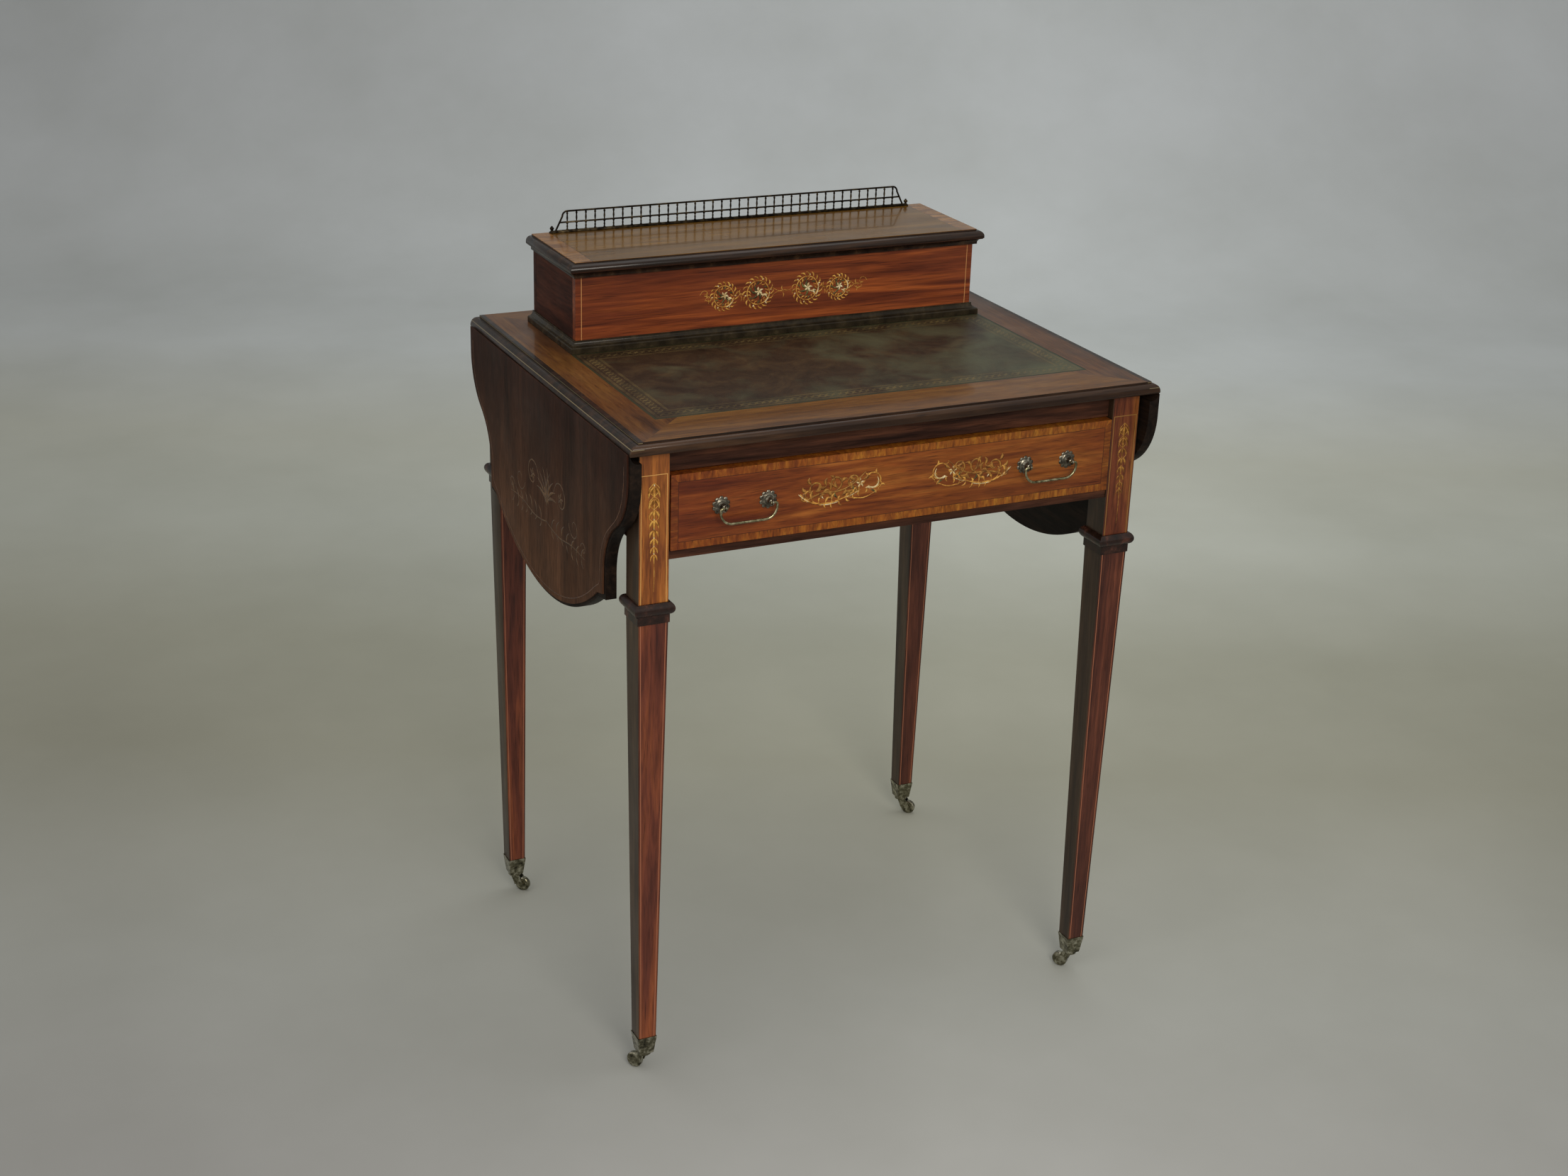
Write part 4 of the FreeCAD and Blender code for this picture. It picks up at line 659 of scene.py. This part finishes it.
paint(brassFinish("wornCastorBrass"), "castor_cups",
      *[f"castor_{part}_{corner}" for part in ("horn", "wheel") for corner in corners])
paint(darkBrass, "gallery")
paint(antiqueBrass, "handle_posts")
paint(screwSteel, "fly_pins")
print("frame nodes painted")

# softened arrises on the frame's own woodwork

arris = {"width": 0.00035, "segments": 2, "angle": 38, "weld": 0.00001, "flat": 0.1}


def softenEdges(names, look):
    for name in names:
        piece = nodes[name]
        weld = piece.modifiers.new("weld", "WELD")
        weld.merge_threshold = look["weld"]
        # thin triangles round a bored hole would shade in streaks
        flatten = piece.modifiers.new("flatten", "DECIMATE")
        flatten.decimate_type = "DISSOLVE"
        flatten.angle_limit = math.radians(look["flat"])
        bevel = piece.modifiers.new("arris", "BEVEL")
        bevel.width = look["width"]
        bevel.segments = look["segments"]
        bevel.limit_method = "ANGLE"
        bevel.angle_limit = math.radians(look["angle"])


softenEdges(["writing_top", "leaf_left", "leaf_right", "lid_panel", "lid_frame", "drawer_front", "box_front",
             "box_side_left", "box_side_right", "base_moulding", "top_rail", "drawer_rail"]
            + [f"leg_{corner}" for corner in corners], arris)
print("arrises softened")

# marquetry: strokes let into a face, given in millimetres across and up it

woodInlay = {
    "gold": ("sandedSatinwood", "#85551f", "#bd8238", "#dca850"),
    "pale": ("paleHolly", "#b5975f", "#dac08c", "#eedfb4"),
    "green": ("stainedSycamore", "#2c2a18", "#54522f", "#77703f"),
    "mellow": ("mellowedSatinwood", "#6d421a", "#8f5f27", "#ad7c36"),
    "faint": ("fadedBoxwood", "#432c1b", "#573d26", "#705234"),
    "string": ("agedStringing", "#3c2216", "#573420", "#6f4a2f"),
}


def inlayFinish(name, dark, mid, light):
    # thin veneer scorched in hot sand for shading, level with the polish over it
    finish, add, where = newFinish(name)
    sanded = {"Scale": 1000 / markMm["scorch"], "Detail": 4, "Roughness": 0.6}
    scorch = add("TexNoise", sanded, {"Vector": where})
    shade = add("ValToRGB", {"stops": [(0.34, dark), (0.62, light), (0.48, mid)], 0: scorch})
    pore = add("TexNoise", {"Scale": 1000 / markMm["pore"], "Detail": 1, "Vector": where})
    polish(add, where, shade, pore, "high")
    return finish


inlayFinishes = {wood: inlayFinish(*look) for wood, look in woodInlay.items()}

# a stroke's width at even steps of its length, as a share of its greatest
strokeShapes = {
    "leaf": (0.12, 0.75, 1, 0.62, 0.08), "stem": (0.7, 1, 0.9, 0.75, 0.35), "line": (1, 1, 1, 1, 1),
}


def swell(kind, along):
    shape = strokeShapes[kind]
    place = along * (len(shape) - 1)
    step = min(int(place), len(shape) - 2)
    return shape[step] + (shape[step + 1] - shape[step]) * (place - step)


def inlay(name, strokes, face, wood, body, flat=0.1):
    # strokes drawn as one curve, pressed nearly flat and stood against their face
    bpy.ops.object.select_all(action="DESELECT")
    bpy.ops.curve.primitive_nurbs_path_add()
    drawing = bpy.context.object
    drawing.name = name
    curve = drawing.data
    curve.splines.clear()
    for points, width, kind in strokes:
        spline = curve.splines.new("NURBS")
        spline.points.add(len(points) - 1)
        for number, (across, up) in enumerate(points):
            spline.points[number].co = (across / 1000, up / 1000, 0, 1)
            spline.points[number].radius = width / 2 * swell(kind, number / (len(points) - 1))
        spline.order_u = 3
        spline.use_endpoint_u = True
        spline.resolution_u = 3
    curve.bevel_depth = 0.001
    curve.bevel_resolution = 0
    curve.use_fill_caps = True
    bpy.ops.object.convert(target="MESH")
    bpy.ops.transform.resize(value=(1, 1, flat))
    bpy.ops.object.transform_apply()
    across, up, out = Vector(face["across"]), Vector((0, 0, 1)), Vector(face["out"])
    board = Matrix((across, up, out)).transposed().to_4x4()
    board.translation = Vector(face["at"])
    drawing.matrix_world = board
    bpy.ops.object.transform_apply()
    bpy.ops.object.shade_smooth()
    drawing.data.materials.append(inlayFinishes[wood])
    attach(drawing, body)


def leafStroke(across, up, length, angle, width, bend=0.25):
    # a pointed leaf from its root, curved to one side
    turned = math.radians(angle)
    ahead, aside = (math.cos(turned), math.sin(turned)), (-math.sin(turned), math.cos(turned))
    points = []
    for step in range(5):
        run = length * step / 4
        sag = bend * length * math.sin(math.pi * step / 4 * 0.9)
        points.append((across + ahead[0] * run + aside[0] * sag, up + ahead[1] * run + aside[1] * sag))
    return points, width, "leaf"


def curl(across, up, outer, inner, start, sweep, width, kind="stem"):
    # a volute that closes in from its outer radius to its inner one
    points = []
    steps = max(5, int(abs(sweep) / 35))
    for step in range(steps + 1):
        run = step / steps
        radius = outer + (inner - outer) * run ** 0.8
        angle = math.radians(start + sweep * run)
        points.append((across + radius * math.cos(angle), up + radius * math.sin(angle)))
    return points, width, kind


def flower(across, up, size, petals, width, turned=0):
    angles = [turned + 360 / petals * number for number in range(petals)]
    return [leafStroke(across, up, size, angle, width, 0.12) for angle in angles]


def flipped(strokes, about):
    return [([(2 * about - across, up) for across, up in points], width, kind)
            for points, width, kind in strokes]


# curls by their centre, outer and inner radius, start, sweep and width; stems by their points and width
drawerInlay = {
    "face": {"at": (0, -0.23302, 0), "across": (1, 0, 0), "out": (0, -1, 0)}, "mirrorAt": 8.5,
    "wider": {"mellow": 1.45, "gold": 1.25, "pale": 1.1, "green": 1.2},
    "mellowCurls": [(-96, 664, 10, 2.5, 250, -400, 1.6), (-75, 668, 10, 2.5, 265, 400, 1.7),
                    (-53, 668, 9, 2, 250, -380, 1.5), (-109, 655, 6, 1.5, 100, 340, 1.2)],
    "mellowStem": ([(-108, 652), (-92, 660), (-72, 657), (-52, 664), (-40, 676)], 1.8, "stem"),
    "goldStems": [([(-115, 660), (-108, 652), (-96, 647), (-78, 646), (-62, 651), (-48, 656)], 1.9, "stem"),
                  ([(-62, 651), (-48, 647), (-36, 648), (-24, 655)], 1.3, "stem")],
    "goldCurls": [(-25, 661, 5, 1.5, -90, 330, 1.1), (-31, 664, 11.5, 8, 160, -250, 1.5)],
    "paleStems": [([(-117, 660), (-111, 655), (-104, 650), (-97, 648)], 2.6, "leaf"),
                  ([(-96, 647), (-84, 643.5), (-70, 647)], 2.5, "leaf"),
                  ([(-66, 650), (-56, 651), (-46, 657)], 2.1, "leaf")],
    "paleCurl": (-31, 664, 7.5, 6.5, 215, 190, 2),
    "greenLeaves": [(-50, 656, 8, 120, 2.2), (-34, 655, 7, -40, 2), (-72, 651, 8, 110, 2)],
}


def drawerMarquetry(look):
    # an acanthus scroll that ends in a flower, and its mirror image
    mellow = [curl(*place) for place in look["mellowCurls"]] + [look["mellowStem"]]
    for row in range(3):
        for number in range(8):
            across, up = -110 + 8.5 * number + 4 * row, 653 + 7 * row + 2 * math.sin(number * 1.9 + row)
            lean = 70 + 65 * math.sin(1.9 * number + 1.3 * row)
            mellow.append(leafStroke(across, up, 8.5, lean, 3, 0.3 * (-1) ** number))
    gold = look["goldStems"] + [curl(*place) for place in look["goldCurls"]]
    for number in range(9):
        across, up = -109 + 62 * number / 8, 656 - 9 * math.sin(math.pi * number / 8)
        length, lean = 8 + 3 * math.sin(number * 2.1), 55 + 22 * math.sin(number * 1.7)
        gold.append(leafStroke(across, up, length, lean, 2.6, 0.3))
        gold.append(leafStroke(across, up, 6, -60 + 30 * math.sin(number * 1.3), 2, -0.3))
    for number in range(6):
        angle = 60 + number * 52
        root = (-31 + 10 * math.cos(math.radians(angle)), 664 + 9 * math.sin(math.radians(angle)))
        gold.append(leafStroke(*root, 6, angle + 40, 2.2, 0.3))
    pale = look["paleStems"] + [curl(*look["paleCurl"])] + flower(-46, 664, 5.2, 5, 2.2, 15)
    pale += [leafStroke(-40, 658, 6, -20, 2.2), leafStroke(-88, 652, 7, 100, 1.8)]
    green = [leafStroke(*place) for place in look["greenLeaves"]]
    for wood, strokes in (("mellow", mellow), ("gold", gold), ("pale", pale), ("green", green)):
        strokes = [(points, width * look["wider"][wood], kind) for points, width, kind in strokes]
        both = strokes + flipped(strokes, look["mirrorAt"])
        inlay(f"drawerMarquetry_{wood}", both, look["face"], wood, "drawer")


# wreaths by their centre and radius, tendrils by the places they join, and the two curled tips
boxInlay = {
    "face": {"at": (0, 0.06598, 0), "across": (1, 0, 0), "out": (0, -1, 0)},
    "wreaths": [(-70, 787, 15), (-28, 788, 17), (33, 788, 17), (73, 786, 14)],
    "tendrils": ((-93, -86), (-53, -46), (-10, 15), (51, 58), (88, 103)), "tips": ((-1, -93), (1, 103)),
}


def wreath(across, up, size, index):
    # leaves all round a ring, a flower in the middle, and a white scroll along one side
    gold = [curl(across, up, size * 0.84, size * 0.84, 0, 350, 1.5, "line")]
    pale, green = [], []
    for number in range(18):
        turned = 20 * number + 9 * index
        ahead, aside = math.cos(math.radians(turned)), math.sin(math.radians(turned))
        root = (across + size * 0.86 * ahead, up + size * 0.86 * aside)
        inner = (across + size * 0.78 * ahead, up + size * 0.78 * aside)
        gold.append(leafStroke(*root, size * 0.4, turned + 62, 2.5, -0.25))
        (green if number % 3 == 1 else gold).append(leafStroke(*inner, size * 0.3, turned + 140, 2, 0.25))
        if number % 3 == 0:
            pale.append(leafStroke(*root, 2.6, turned, 2.2, 0))
    lean = 50 - 25 * index
    pale += flower(across + 1, up + 1, size * 0.34, 5, size * 0.2, lean)
    pale.append(leafStroke(across + 3, up - 3, size * 0.55, -40 + lean / 2, size * 0.17))
    pale.append(leafStroke(across + 5, up - 5, size * 0.4, 10, size * 0.16))
    pale.append(curl(across, up, size * 0.84, size * 0.84, 285 + 20 * index, 55, 1.9))
    green += [leafStroke(across, up, size * 0.58, angle + lean, size * 0.17) for angle in (80, 128, 190, 250)]
    return gold, pale, green


def boxMarquetry(look):
    # four wreaths with a flower spray in each, joined by tendrils
    gold, pale, green = [], [], []
    for index, (across, up, size) in enumerate(look["wreaths"]):
        for strokes, more in zip((gold, pale, green), wreath(across, up, size, index)):
            strokes += more
    for first, last in look["tendrils"]:
        middle = (first + last) / 2
        gold.append(([(first, 784), (middle, 792), (last, 786)], 0.9, "stem"))
        gold.append(([(first, 792), (middle, 783), (last, 790)], 0.9, "stem"))
        gold.append(leafStroke(middle, 788, 6, 90, 1.5))
        gold.append(leafStroke(middle, 786, 6, -90, 1.5))
    for side, tip in look["tips"]:
        gold.append(curl(tip, 791, 6, 1.5, 90 - 90 * side, side * 330, 0.9))
        gold.append(leafStroke(tip, 785, 10, 90 + side * 80, 1.8, 0.3 * side))
    for wood, strokes in (("gold", gold), ("pale", pale), ("green", green)):
        inlay(f"boxMarquetry_{wood}", strokes, look["face"], wood, "table")


blockInlay = {
    "face": {"at": (0, -0.23202, 0), "across": (1, 0, 0), "out": (0, -1, 0)}, "centre": 275, "top": 690,
    "foot": 576, "husks": 8, "first": 15.5, "taper": 0.93, "wide": 13, "plait": 42,
    "woods": {"left": ("gold", "pale"), "right": ("mellow", "gold")},
}


def husk(across, up, length, wide):
    # a bellflower hung by its stalk: one straight petal between two that flare
    petals = [leafStroke(across, up, length, -90, wide * 0.34, 0)]
    for side in (-1, 1):
        lean = -90 + side * 24
        petals.append(leafStroke(across, up - length * 0.1, length * 0.86, lean, wide * 0.3, side * 0.16))
    return petals


def blockMarquetry(look):
    # a drop of husks that dwindles downward, with two plaited stems at its head
    for side, name in ((-1, "left"), (1, "right")):
        centre = side * look["centre"]
        drop, stalks = [], []
        up, length, wide = look["top"], look["first"], look["wide"]
        for number in range(look["husks"]):
            drop += husk(centre, up, length, wide)
            stalks.append(leafStroke(centre, up + 1, 3, -90, 1.8, 0))
            up -= length * 0.82
            length *= look["taper"]
            wide *= look["taper"]
        foot = look["foot"]
        drop.append(([(centre, up + 4), (centre + 1, (up + foot) / 2), (centre, foot)], 1.1, "stem"))
        for turned in (-1, 1):
            plait = []
            for step in range(13):
                swing = 6 * math.sin(math.pi * step / 4) * turned
                plait.append((centre + swing, look["top"] + 2 - look["plait"] * step / 12))
            drop.append((plait, 1.2, "line"))
        dropWood, stalkWood = look["woods"][name]
        inlay(f"blockMarquetry_gold_{name}", drop, look["face"], dropWood, "table")
        inlay(f"blockMarquetry_pale_{name}", stalks, look["face"], stalkWood, "table")


leafInlay = {
    "across": 10, "up": 606, "outside": 0.3085, "flat": 0.03, "edge": 234, "ear": 168, "swing": 71.05,
    "lineTop": 714, "highCentre": 700.5, "lowCentre": 580.5, "turn": 57.6, "cusp": (160, 561.5), "bow": 243.6,
    "bowCentre": 745.2, "lineWide": 1.3,
    "scrolls": [(44, 12, 22, 5, -420, 1.8), (84, -6, 16, 4, 380, 1.6), (112, -20, 9, 2, -360, 1.6)],
    "flowers": [(0, 2, 11, 6, 4), (-44, 12, 8, 5, 3.2), (44, 12, 8, 5, 3.2)],
}


def leafLine(look):
    # a line let in all round, parallel to the leaf's shaped edge
    radius, ear, cusp = look["swing"], look["ear"], look["cusp"]
    outline = [(look["edge"], look["lineTop"]), (look["edge"], look["highCentre"] + 4)]
    turns = [math.radians(look["turn"] * step / 4) for step in range(5)]
    for turn in turns:
        across = look["edge"] - radius + radius * math.cos(turn)
        outline.append((across, look["highCentre"] - radius * math.sin(turn)))
    for turn in reversed(turns[:-1]):
        across = ear + radius - radius * math.cos(turn)
        outline.append((across, look["lowCentre"] + radius * math.sin(turn)))
    outline += [(ear, 569), (ear - 2, 564), cusp]
    bow = []
    for step in range(1, 12):
        across = cusp[0] * (1 - step / 6)
        bow.append((across, look["bowCentre"] - math.sqrt(look["bow"] ** 2 - across ** 2)))
    other = [(-across, up) for across, up in reversed(outline)]
    return outline + bow + other, look["lineWide"], "line"


def leafMarquetry(look):
    # a worn spray in the middle of each hanging leaf, with scrolls to both sides
    across, up = look["across"], look["up"]
    faint = [([(across - 2, up - 34), (across, up - 8), (across + 3, up + 30)], 1.4, "stem")]
    for number in range(-4, 5):
        aside, bend = abs(number), 0.16 if number < 0 else -0.16
        faint.append(leafStroke(across, up - 10 + aside, 44 - 3 * aside, 90 + number * 19, 4.2, bend))
    for side in (-1, 1):
        start = 90 + 90 * side
        for aside, rise, outer, inner, sweep, width in look["scrolls"]:
            place = (across + side * aside, up + rise)
            faint.append(curl(*place, outer, inner, start, side * sweep, width))
        stem = [(across, up - 28), (across + side * 34, up - 36), (across + side * 78, up - 26),
                (across + side * 116, up - 30)]
        faint.append((stem, 2, "stem"))
        for number in range(7):
            root = (across + side * (16 + 15 * number), up - 32 + 3 * math.sin(number))
            faint.append(leafStroke(*root, 17, 90 - side * 35, 3.2, 0.2 * side))
            faint.append(leafStroke(*root, 11, -90 + side * 40, 2.6, -0.2 * side))
    for aside, rise, size, petals, width in look["flowers"]:
        faint += flower(across + aside, up + rise, size, petals, width)
    for side, name in ((-1, "left"), (1, "right")):
        face = {"at": (side * look["outside"], 0, 0), "across": (0, side, 0), "out": (side, 0, 0)}
        inlay(f"leafMarquetry_{name}", faint, face, "faint", f"leaf_{name}", look["flat"])
        inlay(f"leafStringing_{name}", [leafLine(look)], face, "string", f"leaf_{name}", look["flat"])


drawerMarquetry(drawerInlay)
boxMarquetry(boxInlay)
blockMarquetry(blockInlay)
leafMarquetry(leafInlay)
print("marquetry laid")

# turned and cast brasswork


def turnedPiece(name, profile, spokes, smooth=40):
    # a ring drawn up through pairs of radius and height, in metres, closed at both ends
    bpy.ops.object.select_all(action="DESELECT")
    radius, height = profile[0]
    bpy.ops.mesh.primitive_circle_add(vertices=spokes, radius=radius, fill_type="NGON",
                                      location=(0, 0, height))
    piece = bpy.context.object
    piece.name = name
    bpy.ops.object.transform_apply()
    bpy.ops.object.mode_set(mode="EDIT")
    bpy.ops.mesh.select_all(action="SELECT")
    for nextRadius, nextHeight in profile[1:]:
        wider = nextRadius / radius
        bpy.ops.mesh.extrude_region_move(TRANSFORM_OT_translate={"value": (0, 0, nextHeight - height)})
        bpy.ops.transform.resize(value=(wider, wider, 1), center_override=(0, 0, nextHeight))
        radius, height = nextRadius, nextHeight
    bpy.ops.mesh.select_all(action="SELECT")
    bpy.ops.mesh.normals_make_consistent(inside=False)
    bpy.ops.object.mode_set(mode="OBJECT")
    bpy.ops.object.shade_smooth_by_angle(angle=math.radians(smooth))
    return piece


def barPiece(name, low, high):
    # a squared bar between two corners with its arrises eased
    bpy.ops.object.select_all(action="DESELECT")
    middle, size = (Vector(low) + Vector(high)) / 2, Vector(high) - Vector(low)
    bpy.ops.mesh.primitive_cube_add(size=1, location=middle)
    piece = bpy.context.object
    piece.name = name
    piece.scale = size
    bpy.ops.object.transform_apply()
    bpy.ops.object.mode_set(mode="EDIT")
    bpy.ops.mesh.select_all(action="SELECT")
    bpy.ops.mesh.bevel(offset=min(size) * 0.22, segments=2, affect="EDGES")
    bpy.ops.object.mode_set(mode="OBJECT")
    bpy.ops.object.shade_smooth_by_angle(angle=math.radians(40))
    return piece


def copyAt(piece, name, spot, turned=(0, 0, 0)):
    # a copy with its own mesh, put in its place there
    bpy.ops.object.select_all(action="DESELECT")
    piece.select_set(True)
    bpy.context.view_layer.objects.active = piece
    bpy.ops.object.duplicate()
    made = bpy.context.object
    made.name = name
    made.location = spot
    made.rotation_euler = turned
    bpy.ops.object.transform_apply()
    return made


def gather(name, pieces, finish=None):
    bpy.ops.object.select_all(action="DESELECT")
    for piece in pieces:
        piece.select_set(True)
    bpy.context.view_layer.objects.active = pieces[0]
    bpy.ops.object.join()
    whole = bpy.context.object
    whole.name = name
    if finish:
        whole.data.materials.clear()
        whole.data.materials.append(finish)
    return whole


galleryLook = {
    "half": 0.228, "railHalf": 0.214, "bend": 0.007, "y": 0.1955, "depth": 0.0052, "bar": 0.0024,
    "low": 0.841, "base": 0.0026, "rail": 0.0022, "mid": 0.0105, "midThick": 0.0017, "top": 0.866,
    "spindles": 38, "slope": 0.008, "knobIn": 0.0026,
    "spindle": [(0.8, 0), (1.4, 0.02), (1.4, 0.05), (0.75, 0.08), (1.1, 0.2), (0.7, 0.32), (1.35, 0.36),
                (1.35, 0.43), (0.7, 0.48), (1.15, 0.66), (0.75, 0.86), (1.35, 0.92), (0.9, 1)],
    "knob": [(0.0008, 0), (0.0017, 0.0002), (0.0011, 0.0008), (0.0021, 0.0018), (0.0025, 0.003),
             (0.0019, 0.0042), (0.0009, 0.0048), (0.0012, 0.0053), (0.0004, 0.0058)],
}


def galleryBars(look):
    # moulded base strip in two steps, and the middle bar that the spindles pass through
    y, half, low, base, mid = look["y"], look["depth"] / 2, look["low"], look["base"], look["mid"]
    bars = [("galleryBase", look["half"], half, 0, base * 0.6),
            ("galleryBead", look["half"] - 0.001, half * 0.6, base * 0.55, base),
            ("galleryMid", look["railHalf"] + 0.002, look["bar"] / 2, mid, mid + look["midThick"])]
    return [barPiece(name, (-long, y - thick, low + under), (long, y + thick, low + over))
            for name, long, thick, under, over in bars]


def galleryRail(look):
    # the rail, bent down at both ends to the base strip
    low, top, bend, thin = look["low"], look["top"], look["bend"], look["rail"] / 2
    straight = look["railHalf"] - bend
    foot, footZ = look["railHalf"] + look["slope"] - thin, low + look["base"] * 0.8
    path = [(-foot, footZ)]
    for side in (-1, 1):
        turns = range(7) if side < 0 else range(6, -1, -1)
        for step in turns:
            angle = math.radians(90 * step / 6)
            across = side * (straight + (bend - thin) * math.cos(angle))
            path.append((across, top - bend + (bend - thin) * math.sin(angle)))
    path.append((foot, footZ))
    bpy.ops.curve.primitive_nurbs_path_add()
    rail = bpy.context.object
    rail.data.splines.clear()
    line = rail.data.splines.new("POLY")
    line.points.add(len(path) - 1)
    for number, (across, up) in enumerate(path):
        line.points[number].co = (across, look["y"], up, 1)
    rail.data.bevel_depth = thin
    rail.data.bevel_resolution = 2
    rail.data.use_fill_caps = True
    bpy.ops.object.convert(target="MESH")
    bpy.ops.object.shade_smooth()
    return bpy.context.object


def galleryPiece(look):
    # cast gallery: base strip, turned spindles through a middle bar, bent rail, and a knob at each end
    y, low = look["y"], look["low"]
    straight = look["railHalf"] - look["bend"]
    parts = galleryBars(look)
    clear = look["top"] - look["rail"] - low - look["base"] + 0.0004
    foot = low + look["base"] * 0.9
    shape = [(radius / 1000, foot + share * clear) for radius, share in look["spindle"]]
    spindle = turnedPiece("gallerySpindle", shape, 8)
    for number in range(look["spindles"]):
        across = -straight + 2 * straight * number / (look["spindles"] - 1)
        parts.append(copyAt(spindle, f"gallerySpindle_{number}", (across, y, 0)))
    bpy.data.objects.remove(spindle)
    parts.append(galleryRail(look))
    knob = turnedPiece("galleryKnob", look["knob"], 14)
    for side in (-1, 1):
        parts.append(copyAt(knob, f"galleryKnob_{side}", (side * (look["half"] - look["knobIn"]), y, foot)))
    bpy.data.objects.remove(knob)
    gallery = gather("castGallery", parts, darkBrass)
    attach(gallery, "lid")
    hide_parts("gallery")


galleryPiece(galleryLook)
print("gallery cast")

handleLook = {
    "spots": [-0.203, -0.151, 0.151, 0.203], "face": -0.233, "z": 0.66, "rosette": 0.01, "petals": 10,
    "rings": [(0.96, 0), (1, 0.0004), (0.97, 0.0009), (0.84, 0.0015), (0.7, 0.0011), (0.62, 0.0018),
              (0.5, 0.0026), (0.42, 0.0023), (0.3, 0.0034)],
    "waist": [(0.0023, 0.0046), (0.0017, 0.0066), (0.0023, 0.008), (0.0028, 0.0092), (0.0019, 0.0102)],
    "reach": 0.0114, "eye": 0.0021, "eyeWire": 0.00085, "stem": 0.0019,
    "stemHeights": (-0.022, -0.012, 0.0002),
    "notches": [(0.94, 0, 0.9), (0.88, 0, 0.93), (0.8, 1, 0.95)],  # share of the radius, how wide, pull
}


def rosette(look):
    # rings of a disc whose rim is drawn inward between its petals
    petals, rim = look["petals"], look["rosette"]
    profile = [(rim * share, up) for share, up in look["rings"]] + look["waist"]
    base = turnedPiece("rosette", profile, petals * 6, 60)
    for share, wider, pull in look["notches"]:
        bpy.ops.object.mode_set(mode="EDIT")
        bpy.ops.mesh.select_all(action="DESELECT")
        bpy.ops.object.mode_set(mode="OBJECT")
        for vertex in base.data.vertices:
            turned = math.degrees(math.atan2(vertex.co.y, vertex.co.x)) % (360 / petals)
            near = min(turned, 360 / petals - turned) < 360 / petals / 6 * (0.5 + wider)
            vertex.select = near and vertex.co.xy.length > rim * (share - 0.14)
        bpy.ops.object.mode_set(mode="EDIT")
        bpy.ops.transform.resize(value=(pull, pull, 1), center_override=(0, 0, 0))
        bpy.ops.object.mode_set(mode="OBJECT")
    return base


def handlePosts(look):
    # petalled rosette, waisted post and pierced eye for each end of a bail
    base = rosette(look)
    bpy.ops.mesh.primitive_torus_add(
        major_radius=look["eye"], minor_radius=look["eyeWire"], major_segments=20, minor_segments=8,
        location=(0, 0, look["reach"]), rotation=(0, math.radians(90), 0))
    eye = bpy.context.object
    bpy.ops.object.transform_apply()
    bpy.ops.object.shade_smooth()
    stem = turnedPiece("stem", [(look["stem"], up) for up in look["stemHeights"]], 14)
    post = gather("handlePost", [base, eye, stem], antiqueBrass)
    made = []
    for number, spot in enumerate(look["spots"]):
        place = (spot, look["face"], look["z"])
        made.append(copyAt(post, f"handlePost_{number}", place, (math.radians(90), 0, 0)))
    bpy.data.objects.remove(post)
    whole = gather("rosettePosts", made)
    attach(whole, "drawer")
    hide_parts("handle_posts")


handlePosts(handleLook)
print("handles cast")

screwLook = {
    "slot": 0.0004, "proud": 0.00008, "strapRadius": 0.0021, "flapRadius": 0.0016, "turned": 47,
    "strapX": 0.2945, "strapY": (0.142, 0.158), "strapZ": (0.7025, 0.7125),
    "flapX": (0.136, 0.15, 0.164), "flapY": 0.1965, "lidFlapZ": 0.8236, "boxFlapZ": 0.8232,
}


def slottedHead(name, radius, look):
    # a countersunk head filed flush, split by its slot
    proud = look["proud"]
    profile = [(radius * 0.98, -proud), (radius, 0), (radius * 0.94, proud), (radius * 0.4, proud * 1.3)]
    half = turnedPiece(name, profile, 20)
    bpy.ops.object.mode_set(mode="EDIT")
    bpy.ops.mesh.select_all(action="SELECT")
    middle = (0, look["slot"] / 2, 0)
    bpy.ops.mesh.bisect(plane_co=middle, plane_no=(0, 1, 0), use_fill=True, clear_inner=True)
    bpy.ops.object.mode_set(mode="OBJECT")
    other = copyAt(half, name + "Half", (0, 0, 0), (0, 0, math.radians(180)))
    return gather(name, [half, other])


def closeScrews(name, made, body):
    whole = gather(name, made, screwSteel)
    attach(whole, body)


def hingeScrews(look):
    # four screws in each leaf strap, three in each flap of the lid's hinges, no two slots in line
    head = slottedHead("strapScrew", look["strapRadius"], look)
    turns = 0
    for side, name in ((-1, "left"), (1, "right")):
        made = []
        for end in (-1, 1):
            for y in look["strapY"]:
                for z in look["strapZ"]:
                    turns += look["turned"]
                    inward = (math.radians(turns), math.radians(-90 * side), 0)
                    made.append(copyAt(head, "strapScrew", (side * look["strapX"], end * y, z), inward))
        closeScrews(f"strapScrews_{name}", made, f"leaf_{name}")
    bpy.data.objects.remove(head)
    head = slottedHead("flapScrew", look["flapRadius"], look)
    flaps = (("lid", "lid", look["lidFlapZ"], 180), ("box", "table", look["boxFlapZ"], 0))
    for name, body, height, tip in flaps:
        made = []
        for side in (-1, 1):
            for x in look["flapX"]:
                turns += look["turned"]
                upright = (math.radians(tip), 0, math.radians(turns))
                made.append(copyAt(head, "flapScrew", (side * x, look["flapY"], height), upright))
        closeScrews(f"flapScrews_{name}", made, body)
    bpy.data.objects.remove(head)


hingeScrews(screwLook)
print("screws driven")
